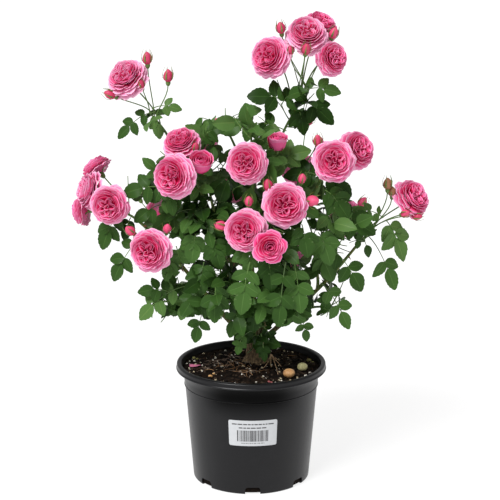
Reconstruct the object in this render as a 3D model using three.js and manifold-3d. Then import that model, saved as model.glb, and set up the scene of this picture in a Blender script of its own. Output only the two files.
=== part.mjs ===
// A rose bush in a nursery pot: a short stool with its canes, and sprays of leaves, blooms and buds.
// Millimetres, +Z up. The origin is the centre of the pot's flat underside, and -Y is the front.
import * as THREE from "three";
import { mergeVertices } from "three/addons/utils/BufferGeometryUtils.js";
import Module from "manifold-3d";

const wasm = await Module();
wasm.setup();
const { Manifold, Mesh: SolidMesh } = wasm;

// Pot, with its rolled rim, the flare under it and its drain notches
const POT = {
  height: 200,
  rimRadius: 126,
  mouthRadius: 117,
  lipFoot: 189,
  neckRadius: 118,
  flareFoot: 173,
  flareRadius: 112.7,
  stepFoot: 163,
  bodyRadius: 111.2,
  footRadius: 97.7,
  wall: 2.2,
  floor: 2.5,
  sides: 32,
};
const NOTCH = { count: 7, turn: 1.5, width: 25, height: 12.5, round: 5, inner: 80, depth: 40 };

// Label stuck on the front of the pot
const LABEL = { width: 80, low: 88, high: 133, turn: 1.5, thick: 0.4 };

// Soil, which fills the pot to a low mound, and the two pebbles on it
const SOIL = { top: 194, edge: 190, flatRadius: 70, gap: 0.6, sides: 24 };
const PEBBLES = {
  tan: { place: [62, -66], radius: 12, flat: 0.75 },
  olive: { place: [85, -31], radius: 10.5, flat: 0.8 },
};

// What keeps touching pieces apart
const GAP = 0.3;

// Stool, the short thick foot that all the canes rise from
const STOOL = {
  foot: [9, 24, SOIL.top + GAP],
  top: [6, 22, 238],
  footRadius: 24,
  neckRadius: 15,
  headRadius: 18,
  lobes: 5,
  lobe: 0.2,
  canesOut: 11,
};

// Sides and steps of the canes from the stool, and of those from another cane
const CANE_FACES = { main: [6, 5], side: [5, 4] };

// The stem inside a spray, and how far it runs on past the spray's middle
const STEM = { radius: 2.1, sides: 4, steps: 3, past: 0.3 };

// Leaves. A compound leaf has one leaflet at the tip of its rib, and pairs behind it.
const LEAFLET = { length: 44, width: 31, thick: 0.9, fold: 0.07, droop: 0.06, widest: 0.45 };
const LEAF_LENGTH = { least: 50, most: 112 };
const LEAF_LEAN = { low: 0.1, high: 0.9 };
const LEAF_SAG = 0.3;
const RIB_RADIUS = 1.0;
const RIB_ARCH = 0.2;
const PAIRS = [
  { at: 0.42, size: 0.72 },
  { at: 0.78, size: 0.86 },
];
const PAIR_ANGLE = 1.05;
const PAIR_BASE = 0.06;
const FEWEST_LEAFLETS = 3;
const ENOUGH_LEAFLETS = 15;
const GOLDEN_ANGLE = Math.PI * (3 - Math.sqrt(5));
const FIRST_SEED = 1000;
const SEED_STEP = 83;

// Flowers. A rose's rings go from its hip to its front, as shares of its radius along and out.
const STALK_RADIUS = 1.2;
const ROSE_SIDES = 8;
const ROSE_SHAPE = [
  [-0.5, 0.08],
  [-0.28, 0.62],
  [0.1, 1.0],
  [0.34, 0.62],
];

// Every spray: its cane's start and tip, the middle and reach of its space, its share of leaves,
// and its roses and buds, each as [x, y, z, turn, lift, diameter]. Turn is from the front towards
// +X and lift is above level, in degrees.
const SPRAYS = {
  top: {
    cane: { from: "stool", at: 0.95, lean: [140, 80], tip: [52, 14, 585], radii: [5.2, 2.6] },
    centre: [84, 5, 642],
    reach: [84, 62, 84],
    leaves: 13,
    roses: [
      [29, -20, 713, -30, 20, 69],
      [88, -12, 748, 0, 42, 66],
      [112, 32, 757, 35, 55, 62],
      [129, -20, 711, 35, 15, 58],
    ],
    buds: [
      [47, -15, 757, -25, 70, 16],
      [131, -5, 748, 40, 60, 16],
      [86, -52, 728, 10, 55, 16],
      [62, -22, 722, -20, 75, 13],
    ],
  },
  upper_left: {
    cane: { from: "left_shoulder", at: 0.78, tip: [-136, -6, 585], radii: [3.0, 2.1] },
    centre: [-164, -6, 622],
    reach: [66, 55, 62],
    leaves: 9,
    roses: [[-200, -10, 678, -35, 40, 67]],
    buds: [
      [-166, -10, 708, -10, 80, 17],
      [-133, -10, 680, 10, 80, 17],
      [-225, -18, 652, -70, 25, 16],
      [-176, -26, 670, -30, 60, 14],
    ],
  },
  left: {
    cane: { from: "stool", at: 0.72, lean: [-97, 42], tip: [-185, -15, 445], radii: [4.6, 2.4] },
    centre: [-228, -25, 470],
    reach: [86, 80, 86],
    leaves: 14,
    roses: [
      [-254, 10, 527, -115, 42, 54],
      [-262, -30, 499, -68, 15, 60],
      [-226, -80, 485, -12, 0, 64],
      [-276, -18, 462, -100, -5, 52],
    ],
  },
  left_shoulder: {
    cane: { from: "stool", at: 0.9, lean: [-52, 66], tip: [-82, -35, 500], radii: [5.0, 2.6] },
    centre: [-108, -72, 545],
    reach: [76, 84, 78],
    leaves: 13,
    roses: [
      [-111, -70, 584, -25, 52, 62],
      [-122, -115, 538, -26, 8, 71],
      [-79, -95, 554, 5, 50, 38],
    ],
    buds: [[-88, -84, 578, 20, 60, 14]],
  },
  left_hip: {
    cane: { from: "left", at: 0.62, tip: [-120, -45, 375], radii: [2.8, 2.1] },
    centre: [-160, -68, 395],
    reach: [74, 80, 76],
    leaves: 13,
    roses: [[-161, -110, 417, -18, 5, 70]],
    buds: [
      [-191, -95, 446, -50, 40, 16],
      [-133, -98, 450, 20, 60, 14],
    ],
  },
  low_left: {
    cane: { from: "left", at: 0.4, tip: [-104, -16, 305], radii: [2.6, 2.0] },
    centre: [-150, -20, 308],
    reach: [88, 74, 66],
    leaves: 14,
  },
  centre_top: {
    cane: { from: "front", at: 0.8, tip: [2, -35, 525], radii: [3.0, 2.2] },
    centre: [0, -72, 584],
    reach: [76, 80, 66],
    leaves: 12,
    roses: [
      [-8, -115, 559, -10, 12, 66],
      [41, -60, 581, 0, 72, 33],
    ],
  },
  middle: {
    cane: { from: "top", at: 0.8, tip: [-25, 8, 560], radii: [2.6, 2.0] },
    centre: [-50, 5, 612],
    reach: [72, 60, 46],
    leaves: 10,
  },
  front: {
    cane: { from: "stool", at: 0.75, lean: [4, 48], tip: [20, -55, 405], radii: [4.4, 2.4] },
    centre: [28, -100, 452],
    reach: [78, 84, 82],
    leaves: 15,
    roses: [
      [52, -130, 496, 0, 12, 72],
      [-10, -135, 456, -12, 8, 68],
      [28, -150, 434, 8, 4, 56],
    ],
    buds: [
      [-47, -120, 460, -70, 20, 17],
      [-4, -121, 499, 5, 70, 14],
      [26, -115, 523, -20, 70, 17],
      [79, -110, 533, 20, 60, 14],
      [95, -119, 500, 50, 10, 18],
    ],
  },
  right_shoulder: {
    cane: { from: "stool", at: 0.92, lean: [50, 64], tip: [112, -30, 515], radii: [5.0, 2.6] },
    centre: [146, -62, 556],
    reach: [72, 80, 72],
    leaves: 11,
    roses: [
      [129, -110, 562, 2, 15, 68],
      [169, -60, 571, 38, 25, 64],
    ],
    buds: [[104, -95, 590, -15, 70, 16]],
  },
  right_arm: {
    cane: { from: "right", at: 0.58, tip: [112, -20, 415], radii: [2.8, 2.1] },
    centre: [150, -35, 445],
    reach: [78, 76, 68],
    leaves: 14,
  },
  right: {
    cane: { from: "stool", at: 0.7, lean: [92, 42], tip: [172, -10, 400], radii: [4.6, 2.4] },
    centre: [206, -5, 428],
    reach: [86, 62, 100],
    leaves: 13,
    roses: [[264, 0, 480, 45, 35, 67]],
    buds: [
      [222, -10, 504, -5, 82, 16],
      [230, -5, 490, 8, 80, 14],
      [250, -22, 458, 40, 20, 14],
      [270, -14, 452, 60, 5, 14],
    ],
  },
  low_right: {
    cane: { from: "right", at: 0.38, tip: [94, -24, 298], radii: [2.6, 2.0] },
    centre: [132, -30, 302],
    reach: [84, 74, 66],
    leaves: 14,
  },
  skirt_left: {
    cane: { from: "front", at: 0.36, tip: [-34, -48, 318], radii: [2.6, 2.0] },
    centre: [-50, -85, 338],
    reach: [74, 76, 74],
    leaves: 14,
  },
  skirt_right: {
    cane: { from: "front", at: 0.5, tip: [46, -50, 322], radii: [2.6, 2.0] },
    centre: [55, -85, 338],
    reach: [74, 76, 74],
    leaves: 14,
  },
  foot: {
    cane: { from: "stool", at: 0.5, lean: [-6, 20] },
    centre: [6, -22, 264],
    reach: [58, 56, 60],
    leaves: 8,
  },
  heart: {
    cane: { from: "front", at: 0.62, tip: [-48, -28, 420], radii: [2.6, 2.0] },
    centre: [-74, -50, 462],
    reach: [72, 72, 72],
    leaves: 14,
  },
  back_top_left: {
    cane: { from: "left_shoulder", at: 0.55, tip: [-70, 58, 480], radii: [3.2, 2.2] },
    centre: [-85, 95, 522],
    reach: [84, 82, 82],
    leaves: 12,
    roses: [[-92, 150, 548, -160, 22, 68]],
    buds: [[-60, 138, 578, 170, 65, 16]],
  },
  back_top_right: {
    cane: { from: "right_shoulder", at: 0.55, tip: [76, 58, 480], radii: [3.2, 2.2] },
    centre: [88, 95, 526],
    reach: [84, 82, 82],
    leaves: 12,
    roses: [
      [84, 165, 498, 168, 18, 64],
      [136, 128, 540, 128, 18, 62],
    ],
    buds: [[98, 140, 584, 140, 65, 16]],
  },
  back_left: {
    cane: { from: "back_centre", at: 0.62, tip: [-95, 60, 385], radii: [3.0, 2.1] },
    centre: [-140, 85, 400],
    reach: [82, 84, 80],
    leaves: 14,
    roses: [[-158, 140, 420, -145, 10, 68]],
    buds: [[-195, 118, 458, -120, 50, 16]],
  },
  back_centre: {
    cane: { from: "stool", at: 0.8, lean: [178, 55], tip: [0, 95, 400], radii: [4.8, 2.5] },
    centre: [0, 128, 440],
    reach: [80, 80, 80],
    leaves: 12,
    roses: [
      [-26, 182, 468, -172, 12, 70],
      [40, 178, 436, 168, 6, 66],
    ],
    buds: [[8, 170, 502, 176, 60, 16]],
  },
  back_right: {
    cane: { from: "back_centre", at: 0.72, tip: [95, 60, 385], radii: [3.0, 2.1] },
    centre: [140, 85, 400],
    reach: [82, 84, 80],
    leaves: 14,
    roses: [[168, 138, 416, 140, 10, 68]],
    buds: [[190, 118, 446, 110, 50, 16]],
  },
  back_low_left: {
    cane: { from: "back_centre", at: 0.4, tip: [-50, 76, 300], radii: [2.8, 2.0] },
    centre: [-70, 96, 312],
    reach: [82, 80, 72],
    leaves: 13,
  },
  back_low_right: {
    cane: { from: "back_centre", at: 0.5, tip: [50, 76, 302], radii: [2.8, 2.0] },
    centre: [68, 96, 314],
    reach: [82, 80, 72],
    leaves: 13,
    roses: [[62, 166, 344, 170, 0, 64]],
  },
};

// Small vector helpers
const V = (x, y, z) => new THREE.Vector3(x, y, z);
const vec = (a) => V(...a);
const plus = (p, way, by) => p.clone().addScaledVector(way, by);
const UP = V(0, 0, 1);
const radians = THREE.MathUtils.degToRad;

// The direction that a turn and a lift in degrees give, with turn 0 at the front
function facing(turn, lift) {
  const level = Math.cos(radians(lift));
  return V(Math.sin(radians(turn)) * level, -Math.cos(radians(turn)) * level, Math.sin(radians(lift)));
}

// The part of a vector that stands square to another
const squareTo = (v, along) => plus(v, along, -v.dot(along)).normalize();

// A repeatable stream of numbers from 0 to 1
function seeded(seed) {
  let state = seed;
  return () => {
    state = (state * 16807) % 2147483647;
    return state / 2147483647;
  };
}

// Solids and geometries
function solidOf(geometry) {
  const bare = geometry.index ? geometry.toNonIndexed() : geometry.clone();
  bare.deleteAttribute("normal");
  bare.deleteAttribute("uv");
  const merged = mergeVertices(bare, 1e-4);
  return new Manifold(
    new SolidMesh({
      numProp: 3,
      vertProperties: merged.attributes.position.array,
      triVerts: new Uint32Array(merged.index.array),
    }),
  );
}

function geometryOf(solid) {
  const mesh = solid.getMesh();
  const geometry = new THREE.BufferGeometry();
  geometry.setAttribute("position", new THREE.BufferAttribute(new Float32Array(mesh.vertProperties), 3));
  geometry.setIndex(new THREE.BufferAttribute(new Uint32Array(mesh.triVerts), 1));
  const flat = geometry.toNonIndexed();
  flat.computeVertexNormals();
  return flat;
}

function closedGeometry(points, triangles) {
  const geometry = new THREE.BufferGeometry();
  const numbers = points.flatMap((p) => [p.x, p.y, p.z]);
  geometry.setAttribute("position", new THREE.Float32BufferAttribute(numbers, 3));
  geometry.setIndex(triangles);
  return geometry;
}

// Points round a circle, from one direction towards another
function ring(centre, from, towards, radius, sides) {
  return Array.from({ length: sides }, (_, j) => {
    const angle = (2 * Math.PI * j) / sides;
    return plus(plus(centre, from, radius * Math.cos(angle)), towards, radius * Math.sin(angle));
  });
}

// A stack of rings with the same number of points, closed by a cap at each end
function ringsGeometry(rings) {
  const sides = rings[0].length;
  const last = rings.length - 1;
  const triangles = [];
  for (let i = 0; i < last; i++)
    for (let j = 0; j < sides; j++) {
      const a = i * sides + j;
      const b = i * sides + ((j + 1) % sides);
      triangles.push(a, b, b + sides, a, b + sides, a + sides);
    }
  for (let j = 1; j < sides - 1; j++) {
    triangles.push(0, j + 1, j);
    triangles.push(last * sides, last * sides + j, last * sides + j + 1);
  }
  return closedGeometry(rings.flat(), triangles);
}

// Rings along a curve. radiusAt gives their radius from 0 at the start to 1 at the end.
function curveRings(curve, radiusAt, sides, steps) {
  const { normals, binormals } = curve.computeFrenetFrames(steps, false);
  return normals.map((normal, i) =>
    ring(curve.getPointAt(i / steps), normal, binormals[i], radiusAt(i / steps), sides),
  );
}

function tube(curve, radiusAt, sides, steps) {
  return solidOf(ringsGeometry(curveRings(curve, radiusAt, sides, steps)));
}

function lathe(profile, sides) {
  const points = profile.map(([r, z]) => new THREE.Vector2(r, z));
  return solidOf(new THREE.LatheGeometry(points, sides).rotateX(Math.PI / 2));
}

function largest(solid) {
  return solid.decompose().reduce((a, b) => (b.volume() > a.volume() ? b : a));
}

// Whether two solids overlap
function meet(one, other) {
  const a = one.boundingBox();
  const b = other.boundingBox();
  const near = [0, 1, 2].every((i) => a.min[i] <= b.max[i] && b.min[i] <= a.max[i]);
  return near && one.intersect(other).volume() > 0;
}

// The pot's outer radius at a height on its body, below the step
const bodyRadius = (z) => POT.footRadius + ((POT.bodyRadius - POT.footRadius) * z) / POT.stepFoot;

function potSolid() {
  const profile = [
    [0, 0],
    [POT.footRadius - 1.5, 0],
    [bodyRadius(1.5), 1.5],
    [POT.bodyRadius, POT.stepFoot],
    [POT.bodyRadius + 1, POT.stepFoot + 1],
    [POT.flareRadius, POT.flareFoot],
    [POT.neckRadius, POT.lipFoot],
    [POT.rimRadius - 3, POT.lipFoot + 0.5],
    [POT.rimRadius, POT.lipFoot + 3],
    [POT.rimRadius, POT.height - 3],
    [POT.rimRadius - 2.5, POT.height - 0.5],
    [POT.mouthRadius + 1.5, POT.height],
    [POT.mouthRadius, POT.height - 1.5],
    [POT.neckRadius - POT.wall, POT.lipFoot + 1],
    [POT.flareRadius - POT.wall, POT.flareFoot + 1],
    [POT.bodyRadius - POT.wall, POT.stepFoot],
    [POT.footRadius - POT.wall, POT.floor],
    [0, POT.floor],
  ];
  const notches = Array.from({ length: NOTCH.count }, (_, i) => notchSolid(i));
  return lathe(profile, POT.sides).subtract(Manifold.union(notches));
}

// What one drain notch takes away: a block with round upper corners, pushed in through the wall
function notchSolid(i) {
  const half = NOTCH.width / 2;
  const shoulder = NOTCH.height - NOTCH.round;
  const arch = new THREE.Shape().moveTo(-half, -NOTCH.height).lineTo(half, -NOTCH.height);
  arch.lineTo(half, shoulder).quadraticCurveTo(half, NOTCH.height, half - NOTCH.round, NOTCH.height);
  arch.lineTo(NOTCH.round - half, NOTCH.height).quadraticCurveTo(-half, NOTCH.height, -half, shoulder);
  const block = new THREE.ExtrudeGeometry(arch, { depth: NOTCH.depth, bevelEnabled: false, curveSegments: 3 });
  block.rotateX(Math.PI / 2).translate(0, -NOTCH.inner, 0);
  return solidOf(block.rotateZ(radians(NOTCH.turn) + (2 * Math.PI * i) / NOTCH.count));
}

function soilSolid() {
  const wall = POT.wall + SOIL.gap;
  return lathe(
    [
      [0, POT.floor + GAP],
      [POT.footRadius - wall, POT.floor + GAP],
      [POT.bodyRadius - wall, POT.stepFoot + 1],
      [POT.flareRadius - wall, POT.flareFoot + 2],
      [POT.neckRadius - wall - 0.4, SOIL.edge],
      [SOIL.flatRadius, SOIL.top],
      [0, SOIL.top],
    ],
    SOIL.sides,
  );
}

// The label, bent round the pot's wall and leaning with it
function labelSolid() {
  const columns = 8;
  const half = LABEL.width / 2 / bodyRadius((LABEL.low + LABEL.high) / 2);
  const rings = Array.from({ length: columns + 1 }, (_, i) => {
    const angle = radians(LABEL.turn) + half * ((2 * i) / columns - 1);
    const at = (z, out) => {
      const r = bodyRadius(z) + GAP + out;
      return V(r * Math.sin(angle), -r * Math.cos(angle), z);
    };
    return [at(LABEL.high, 0), at(LABEL.high, LABEL.thick), at(LABEL.low, LABEL.thick), at(LABEL.low, 0)];
  });
  return solidOf(ringsGeometry(rings));
}

// A flattened round pebble that rests on the soil
function pebbleSolid({ place, radius, flat }) {
  const pebble = new THREE.IcosahedronGeometry(radius, 0);
  pebble.scale(1, 0.86, flat);
  pebble.computeBoundingBox();
  const slope = (SOIL.top - SOIL.edge) / (POT.neckRadius - POT.wall - SOIL.flatRadius);
  const ground = SOIL.top - slope * Math.max(0, Math.hypot(...place) - SOIL.flatRadius);
  pebble.translate(...place, ground + GAP - pebble.boundingBox.min.z);
  return solidOf(pebble);
}

// The stool: lobed where it spreads on the soil, waisted, and knobbed where the canes leave.
// grow makes the larger copy that the canes are cut by.
function stoolSolid(grow = 0) {
  const sections = [
    [0, STOOL.footRadius],
    [0.16, STOOL.neckRadius + 3],
    [0.45, STOOL.neckRadius],
    [0.82, STOOL.headRadius],
    [1, STOOL.headRadius - 5],
  ];
  const rings = sections.map(([t, radius]) => {
    const centre = vec(STOOL.foot).lerp(vec(STOOL.top), t);
    centre.z += grow * (2 * t - 1);
    const lobe = STOOL.lobe * (1 - t) ** 3;
    return Array.from({ length: 3 * STOOL.lobes }, (_, j) => {
      const turn = (360 * j) / (3 * STOOL.lobes);
      return plus(centre, facing(turn, 0), radius * (1 + (j % 3 ? -lobe / 2 : lobe)) + grow);
    });
  });
  return solidOf(ringsGeometry(rings));
}

// The place inside the stool that a cane starts from, off its axis towards a turn
function stoolPoint(at, turn) {
  return plus(vec(STOOL.foot).lerp(vec(STOOL.top), at), facing(turn, 0), STOOL.canesOut * at);
}

// A limb's line: it leaves its start one way, and arrives at its end another way
function limbCurve(start, leave, end, arrive) {
  const third = start.distanceTo(end) / 3;
  return new THREE.CubicBezierCurve3(start, plus(start, leave, third), plus(end, arrive, -third), end);
}

// How many canes lie between a spray and the stool
function depth(name) {
  const { from } = SPRAYS[name].cane;
  return from === "stool" ? 0 : 1 + depth(from);
}

// All the canes, each cut clear of the stool and of the canes before it
function growCanes() {
  const limbs = { stool: { solid: stoolSolid(), grown: stoolSolid(GAP) } };
  const names = Object.keys(SPRAYS).filter((name) => SPRAYS[name].cane.tip);
  names.sort((a, b) => depth(a) - depth(b));
  for (const name of names) {
    const { cane, centre } = SPRAYS[name];
    const parent = limbs[cane.from].curve;
    const tip = vec(cane.tip);
    const start = parent ? parent.getPointAt(cane.at) : stoolPoint(cane.at, cane.lean[0]);
    const outward = tip.clone().sub(start).normalize();
    const forked = () => plus(outward, parent.getTangentAt(cane.at), 0.5).normalize();
    const leave = parent ? forked() : facing(...cane.lean);
    const arrive = vec(centre).sub(tip).normalize().lerp(UP, 0.25).normalize();
    const curve = limbCurve(start, leave, tip, arrive);
    const radiusAt = (grow) => (t) => THREE.MathUtils.lerp(...cane.radii, t) * caneSwell(t) + grow;
    const [sides, steps] = parent ? CANE_FACES.side : CANE_FACES.main;
    const earlier = Manifold.union(Object.values(limbs).map((limb) => limb.grown));
    const solid = largest(tube(curve, radiusAt(0), sides, steps).subtract(earlier));
    limbs[name] = { curve, solid, grown: tube(curve, radiusAt(GAP), sides, steps) };
  }
  return limbs;
}

// The slight swelling of a cane at its joints
const caneSwell = (t) => 1 + 0.05 * Math.sin(19 * t);

// Whether a point lies in a spray's own space: nearer its middle than any other's, clear of the
// pot's rim and, over the pot, of the soil
function inSpace(name, p, margin = 0.6) {
  const middle = vec(SPRAYS[name].centre);
  const out = Math.hypot(p.x, p.y);
  const floor = out < POT.mouthRadius - 14 ? SOIL.top + 4 : POT.height + 5;
  const own = ({ half, away }) => p.clone().sub(middle).dot(away) < half - margin;
  return p.z > floor && neighbours(name).every(own);
}

// The planes half-way to every other spray, as a distance and a direction from this one's middle
function neighbours(name) {
  const middle = vec(SPRAYS[name].centre);
  return Object.keys(SPRAYS)
    .filter((other) => other !== name)
    .map((other) => vec(SPRAYS[other].centre).sub(middle))
    .map((away) => ({ half: away.length() / 2, away: away.normalize() }));
}

// How far a line from a point can run before it leaves the spray's reach and space
function roomAlong(name, from, way) {
  const { centre, reach } = SPRAYS[name];
  const d = from.clone().sub(vec(centre));
  const [u, w] = [d.clone().divide(vec(reach)), way.clone().divide(vec(reach))];
  const [a, b, c] = [w.dot(w), u.dot(w), u.dot(u) - 1];
  let room = c < 0 ? (-b + Math.sqrt(b * b - a * c)) / a : 0;
  for (const { half, away } of neighbours(name))
    if (way.dot(away) > 0.01) room = Math.min(room, (half - d.dot(away)) / way.dot(away));
  return room;
}

// Whether a point lies in a rose or in front of its face
function hidesRose(p) {
  return Object.values(SPRAYS).some(({ roses = [] }) =>
    roses.some(([x, y, z, turn, lift, size]) => {
      const d = p.clone().sub(V(x, y, z));
      const along = d.dot(facing(turn, lift));
      const aside = Math.sqrt(Math.max(0, d.lengthSq() - along * along));
      return along > -0.2 * size && along < 1.6 * size && aside < 0.5 * size;
    }),
  );
}

// A leaflet's corners: its tip, its two edges, and the middle of its top and of its underside
function leafletCorners({ base, along, face, size }) {
  const length = LEAFLET.length * size;
  const side = along.clone().cross(face).normalize();
  const middle = plus(base, along, LEAFLET.widest * length);
  const edge = (s) => plus(plus(middle, side, (s * LEAFLET.width * size) / 2), face, LEAFLET.fold * length);
  return {
    tip: plus(plus(base, along, length), face, -LEAFLET.droop * length),
    right: edge(1),
    left: edge(-1),
    top: plus(middle, face, LEAFLET.thick / 2),
    under: plus(middle, face, -LEAFLET.thick / 2),
  };
}

// A leaflet on its own, as a solid that tests what it would touch
function leafletSolid(leaflet) {
  const { tip, right, left, top, under } = leafletCorners(leaflet);
  const root = plus(leaflet.base, leaflet.along, 2 * RIB_RADIUS);
  const faces = [0, 2, 4, 2, 1, 4, 1, 3, 4, 3, 0, 4, 2, 0, 5, 1, 2, 5, 3, 1, 5, 0, 3, 5];
  return solidOf(closedGeometry([root, tip, right, left, top, under], faces));
}

// The rib of a compound leaf arches out of the stem and droops to its end
function ribCurve(start, tip, leafletLength) {
  const end = start.clone().lerp(tip, 1 - leafletLength / start.distanceTo(tip));
  const middle = plus(start.clone().lerp(end, 0.5), UP, RIB_ARCH * start.distanceTo(end));
  return new THREE.QuadraticBezierCurve3(start, middle, end);
}

// The leaflets of one compound leaf: its pairs, and the one at the rib's end
function leafletsOn(curve, face, leafSize, random) {
  const leaflets = [];
  PAIRS.forEach(({ at, size }) => {
    const along = curve.getTangentAt(at);
    const across = squareTo(face, along);
    for (const side of [-1, 1]) {
      const turned = along.clone().applyAxisAngle(across, side * (PAIR_ANGLE + 0.3 * (random() - 0.5)));
      const tilted = across.clone().applyAxisAngle(turned, 0.5 * (random() - 0.5));
      leaflets.push({ base: curve.getPointAt(at), along: turned, face: tilted, size: leafSize * size });
    }
  });
  const end = curve.getTangentAt(1);
  leaflets.push({ base: curve.getPointAt(1), along: end, face: squareTo(face, end), size: leafSize });
  return leaflets;
}

// One compound leaf as a single closed surface: a three-sided rib whose sides open out into the
// leaflets that are kept
function leafSolid(curve, face, leaflets, kept) {
  const points = [];
  const triangles = [];
  const put = (...corners) => corners.map((corner) => points.push(corner) - 1);
  const places = [0, ...PAIRS.flatMap(({ at }) => [at - PAIR_BASE, at + PAIR_BASE]), 1];
  const sections = places.map((at) => {
    const along = curve.getTangentAt(at);
    const up = squareTo(face, along);
    return put(...ring(curve.getPointAt(at), up, along.clone().cross(up), RIB_RADIUS, 3));
  });
  const last = sections.length - 1;
  for (let k = 0; k < last; k++)
    for (let j = 0; j < 3; j++) {
      const next = (j + 1) % 3;
      const base = [sections[k][j], sections[k][next], sections[k + 1][next], sections[k + 1][j]];
      const which = j === 0 ? k - 1 : k;
      if (k % 2 === 0 || j === 1 || !kept[which]) {
        triangles.push(base[0], base[1], base[2], base[0], base[2], base[3]);
        continue;
      }
      const { tip, right, left, top, under } = leafletCorners(leaflets[which]);
      const middle = j === 0 ? put(right, under, left, top) : put(left, top, right, under);
      const [end] = put(tip);
      for (let i = 0; i < 4; i++) {
        const n = (i + 1) % 4;
        triangles.push(base[i], base[n], middle[i], base[n], middle[n], middle[i], middle[i], middle[n], end);
      }
    }
  const [a, b, c] = sections[last];
  if (kept[leaflets.length - 1]) {
    const { tip, right, left, top, under } = leafletCorners(leaflets[leaflets.length - 1]);
    const [t, r, u, l, end] = put(top, right, under, left, tip);
    triangles.push(a, b, r, b, c, u, c, a, l, b, u, r, c, l, u, a, r, t, a, t, l);
    triangles.push(t, r, end, r, u, end, u, l, end, l, t, end);
  } else triangles.push(a, b, c);
  triangles.push(sections[0][0], sections[0][2], sections[0][1]);
  return solidOf(closedGeometry(points, triangles));
}

// Every compound leaf of a spray, as its start on the stem, its tip and the way its blades face.
// The leaves stand round the stem by the golden angle, and fill the room that the space leaves.
function leafPlan(name, stem, random) {
  const count = SPRAYS[name].leaves;
  const plan = [];
  for (let i = 0; i < count; i++) {
    const t = (i + 0.7) / count;
    const start = stem.getPointAt(t);
    const along = stem.getTangentAt(t);
    const around = squareTo(V(0.3, -1, 0.2), along).applyAxisAngle(along, i * GOLDEN_ANGLE + 0.5 * random());
    const lean = LEAF_LEAN.low + (LEAF_LEAN.high - LEAF_LEAN.low) * t ** 2 + 0.3 * (random() - 0.5);
    const way = around.multiplyScalar(Math.cos(lean)).addScaledVector(along, Math.sin(lean));
    way.addScaledVector(UP, -LEAF_SAG).normalize();
    const length = Math.min(roomAlong(name, start, way) - 2, LEAF_LENGTH.most * (0.8 + 0.2 * random()));
    const size = 0.85 + 0.25 * random();
    const turn = 1.2 * (random() - 0.5);
    const order = random();
    if (length < LEAF_LENGTH.least) continue;
    const outward = V(start.x, start.y, 0).normalize().addScaledVector(way, 0.4);
    const face = outward.addScaledVector(UP, 0.8).normalize().applyAxisAngle(way, turn);
    plan.push({ start, tip: plus(start, way, length), face, size, order });
  }
  return plan.sort((a, b) => a.order - b.order);
}

// The stalk of a flower rises from the stem and meets the flower along the way it faces
function stalkCurve(from, hip, face) {
  const span = from.distanceTo(hip);
  return new THREE.CubicBezierCurve3(from, plus(from, UP, span * 0.25), plus(hip, face, -span * 0.35), hip);
}

// A rose as a closed rosette, flat in front and narrowing behind to its hip, on its stalk
function roseSolid([x, y, z, turn, lift, size], from) {
  const radius = size / 2;
  const face = facing(turn, lift);
  const side = UP.clone().cross(face).normalize();
  const above = face.clone().cross(side);
  const centre = V(x, y, z);
  const rosette = ROSE_SHAPE.map(([along, out]) =>
    ring(plus(centre, face, radius * along), side, above, radius * out, ROSE_SIDES),
  );
  const stalk = stalkCurve(from, plus(centre, face, radius * (ROSE_SHAPE[0][0] + 0.1)), face);
  return solidOf(ringsGeometry(rosette)).add(tube(stalk, () => STALK_RADIUS, 3, 2));
}

// A pointed bud and its stalk as one tapering sweep
function budSolid([x, y, z, turn, lift, size], from) {
  const face = facing(turn, lift);
  const middle = V(x, y, z);
  const stalk = curveRings(stalkCurve(from, plus(middle, face, -size), face), () => STALK_RADIUS, 4, 2);
  const swell = stalk[2].map((p) => plus(p, face, size));
  const widen = (points, about, by) => points.map((p) => about.clone().lerp(p, by));
  const body = widen(swell, middle, size / 2 / STALK_RADIUS);
  const tip = widen(swell, middle, 0.3).map((p) => plus(p, face, size));
  return solidOf(ringsGeometry([...stalk, body, tip]));
}

// The stem that carries a spray, from just past its cane's tip, or from the stool where it has none
function sprayStem(name, limbs) {
  const { cane, centre } = SPRAYS[name];
  const middle = vec(centre);
  if (!cane.tip) return limbCurve(stoolPoint(cane.at, cane.lean[0]), facing(...cane.lean), middle, UP);
  const along = limbs[name].curve.getTangentAt(1);
  const foot = plus(limbs[name].curve.getPointAt(1), along, GAP);
  const arrive = middle.clone().sub(foot).normalize();
  return limbCurve(foot, along, plus(middle, arrive, STEM.past * foot.distanceTo(middle)), arrive);
}

// One spray: its stem, its flowers on their stalks, and its leaves, all fused into one solid
function spraySolid(name, limbs, seed) {
  const random = seeded(seed);
  const { roses = [], buds = [] } = SPRAYS[name];
  const stem = sprayStem(name, limbs);
  const bare = tube(stem, (t) => STEM.radius * (1 - 0.25 * t), STEM.sides, STEM.steps);
  const pieces = [largest(bare.subtract(limbs.stool.grown))];
  for (const rose of roses) pieces.push(roseSolid(rose, stem.getPointAt(0.4 + 0.5 * random())));
  for (const bud of buds) pieces.push(budSolid(bud, stem.getPointAt(0.5 + 0.5 * random())));
  const taken = [...Object.values(limbs).map((limb) => limb.grown), ...pieces.slice(1)];
  let grown = 0;
  for (const { start, tip, face, size } of leafPlan(name, stem, random)) {
    const curve = ribCurve(start, tip, 0.9 * LEAFLET.length * size);
    const leaflets = leafletsOn(curve, face, size, random);
    if (grown >= ENOUGH_LEAFLETS || !curve.getPoints(6).every((p) => inSpace(name, p, 2))) continue;
    const blades = [];
    const kept = leaflets.map((leaflet) => {
      const corners = Object.values(leafletCorners(leaflet));
      if (!corners.every((p) => inSpace(name, p)) || hidesRose(corners[3])) return false;
      const blade = leafletSolid(leaflet);
      if ([...taken, ...blades].some((other) => meet(other, blade))) return false;
      return blades.push(blade) > 0;
    });
    const leaf = leafSolid(curve, face, leaflets, kept);
    if (blades.length < FEWEST_LEAFLETS || taken.some((other) => meet(other, leaf))) continue;
    taken.push(...blades);
    pieces.push(leaf);
    grown += blades.length;
  }
  return largest(Manifold.union(pieces));
}

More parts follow.
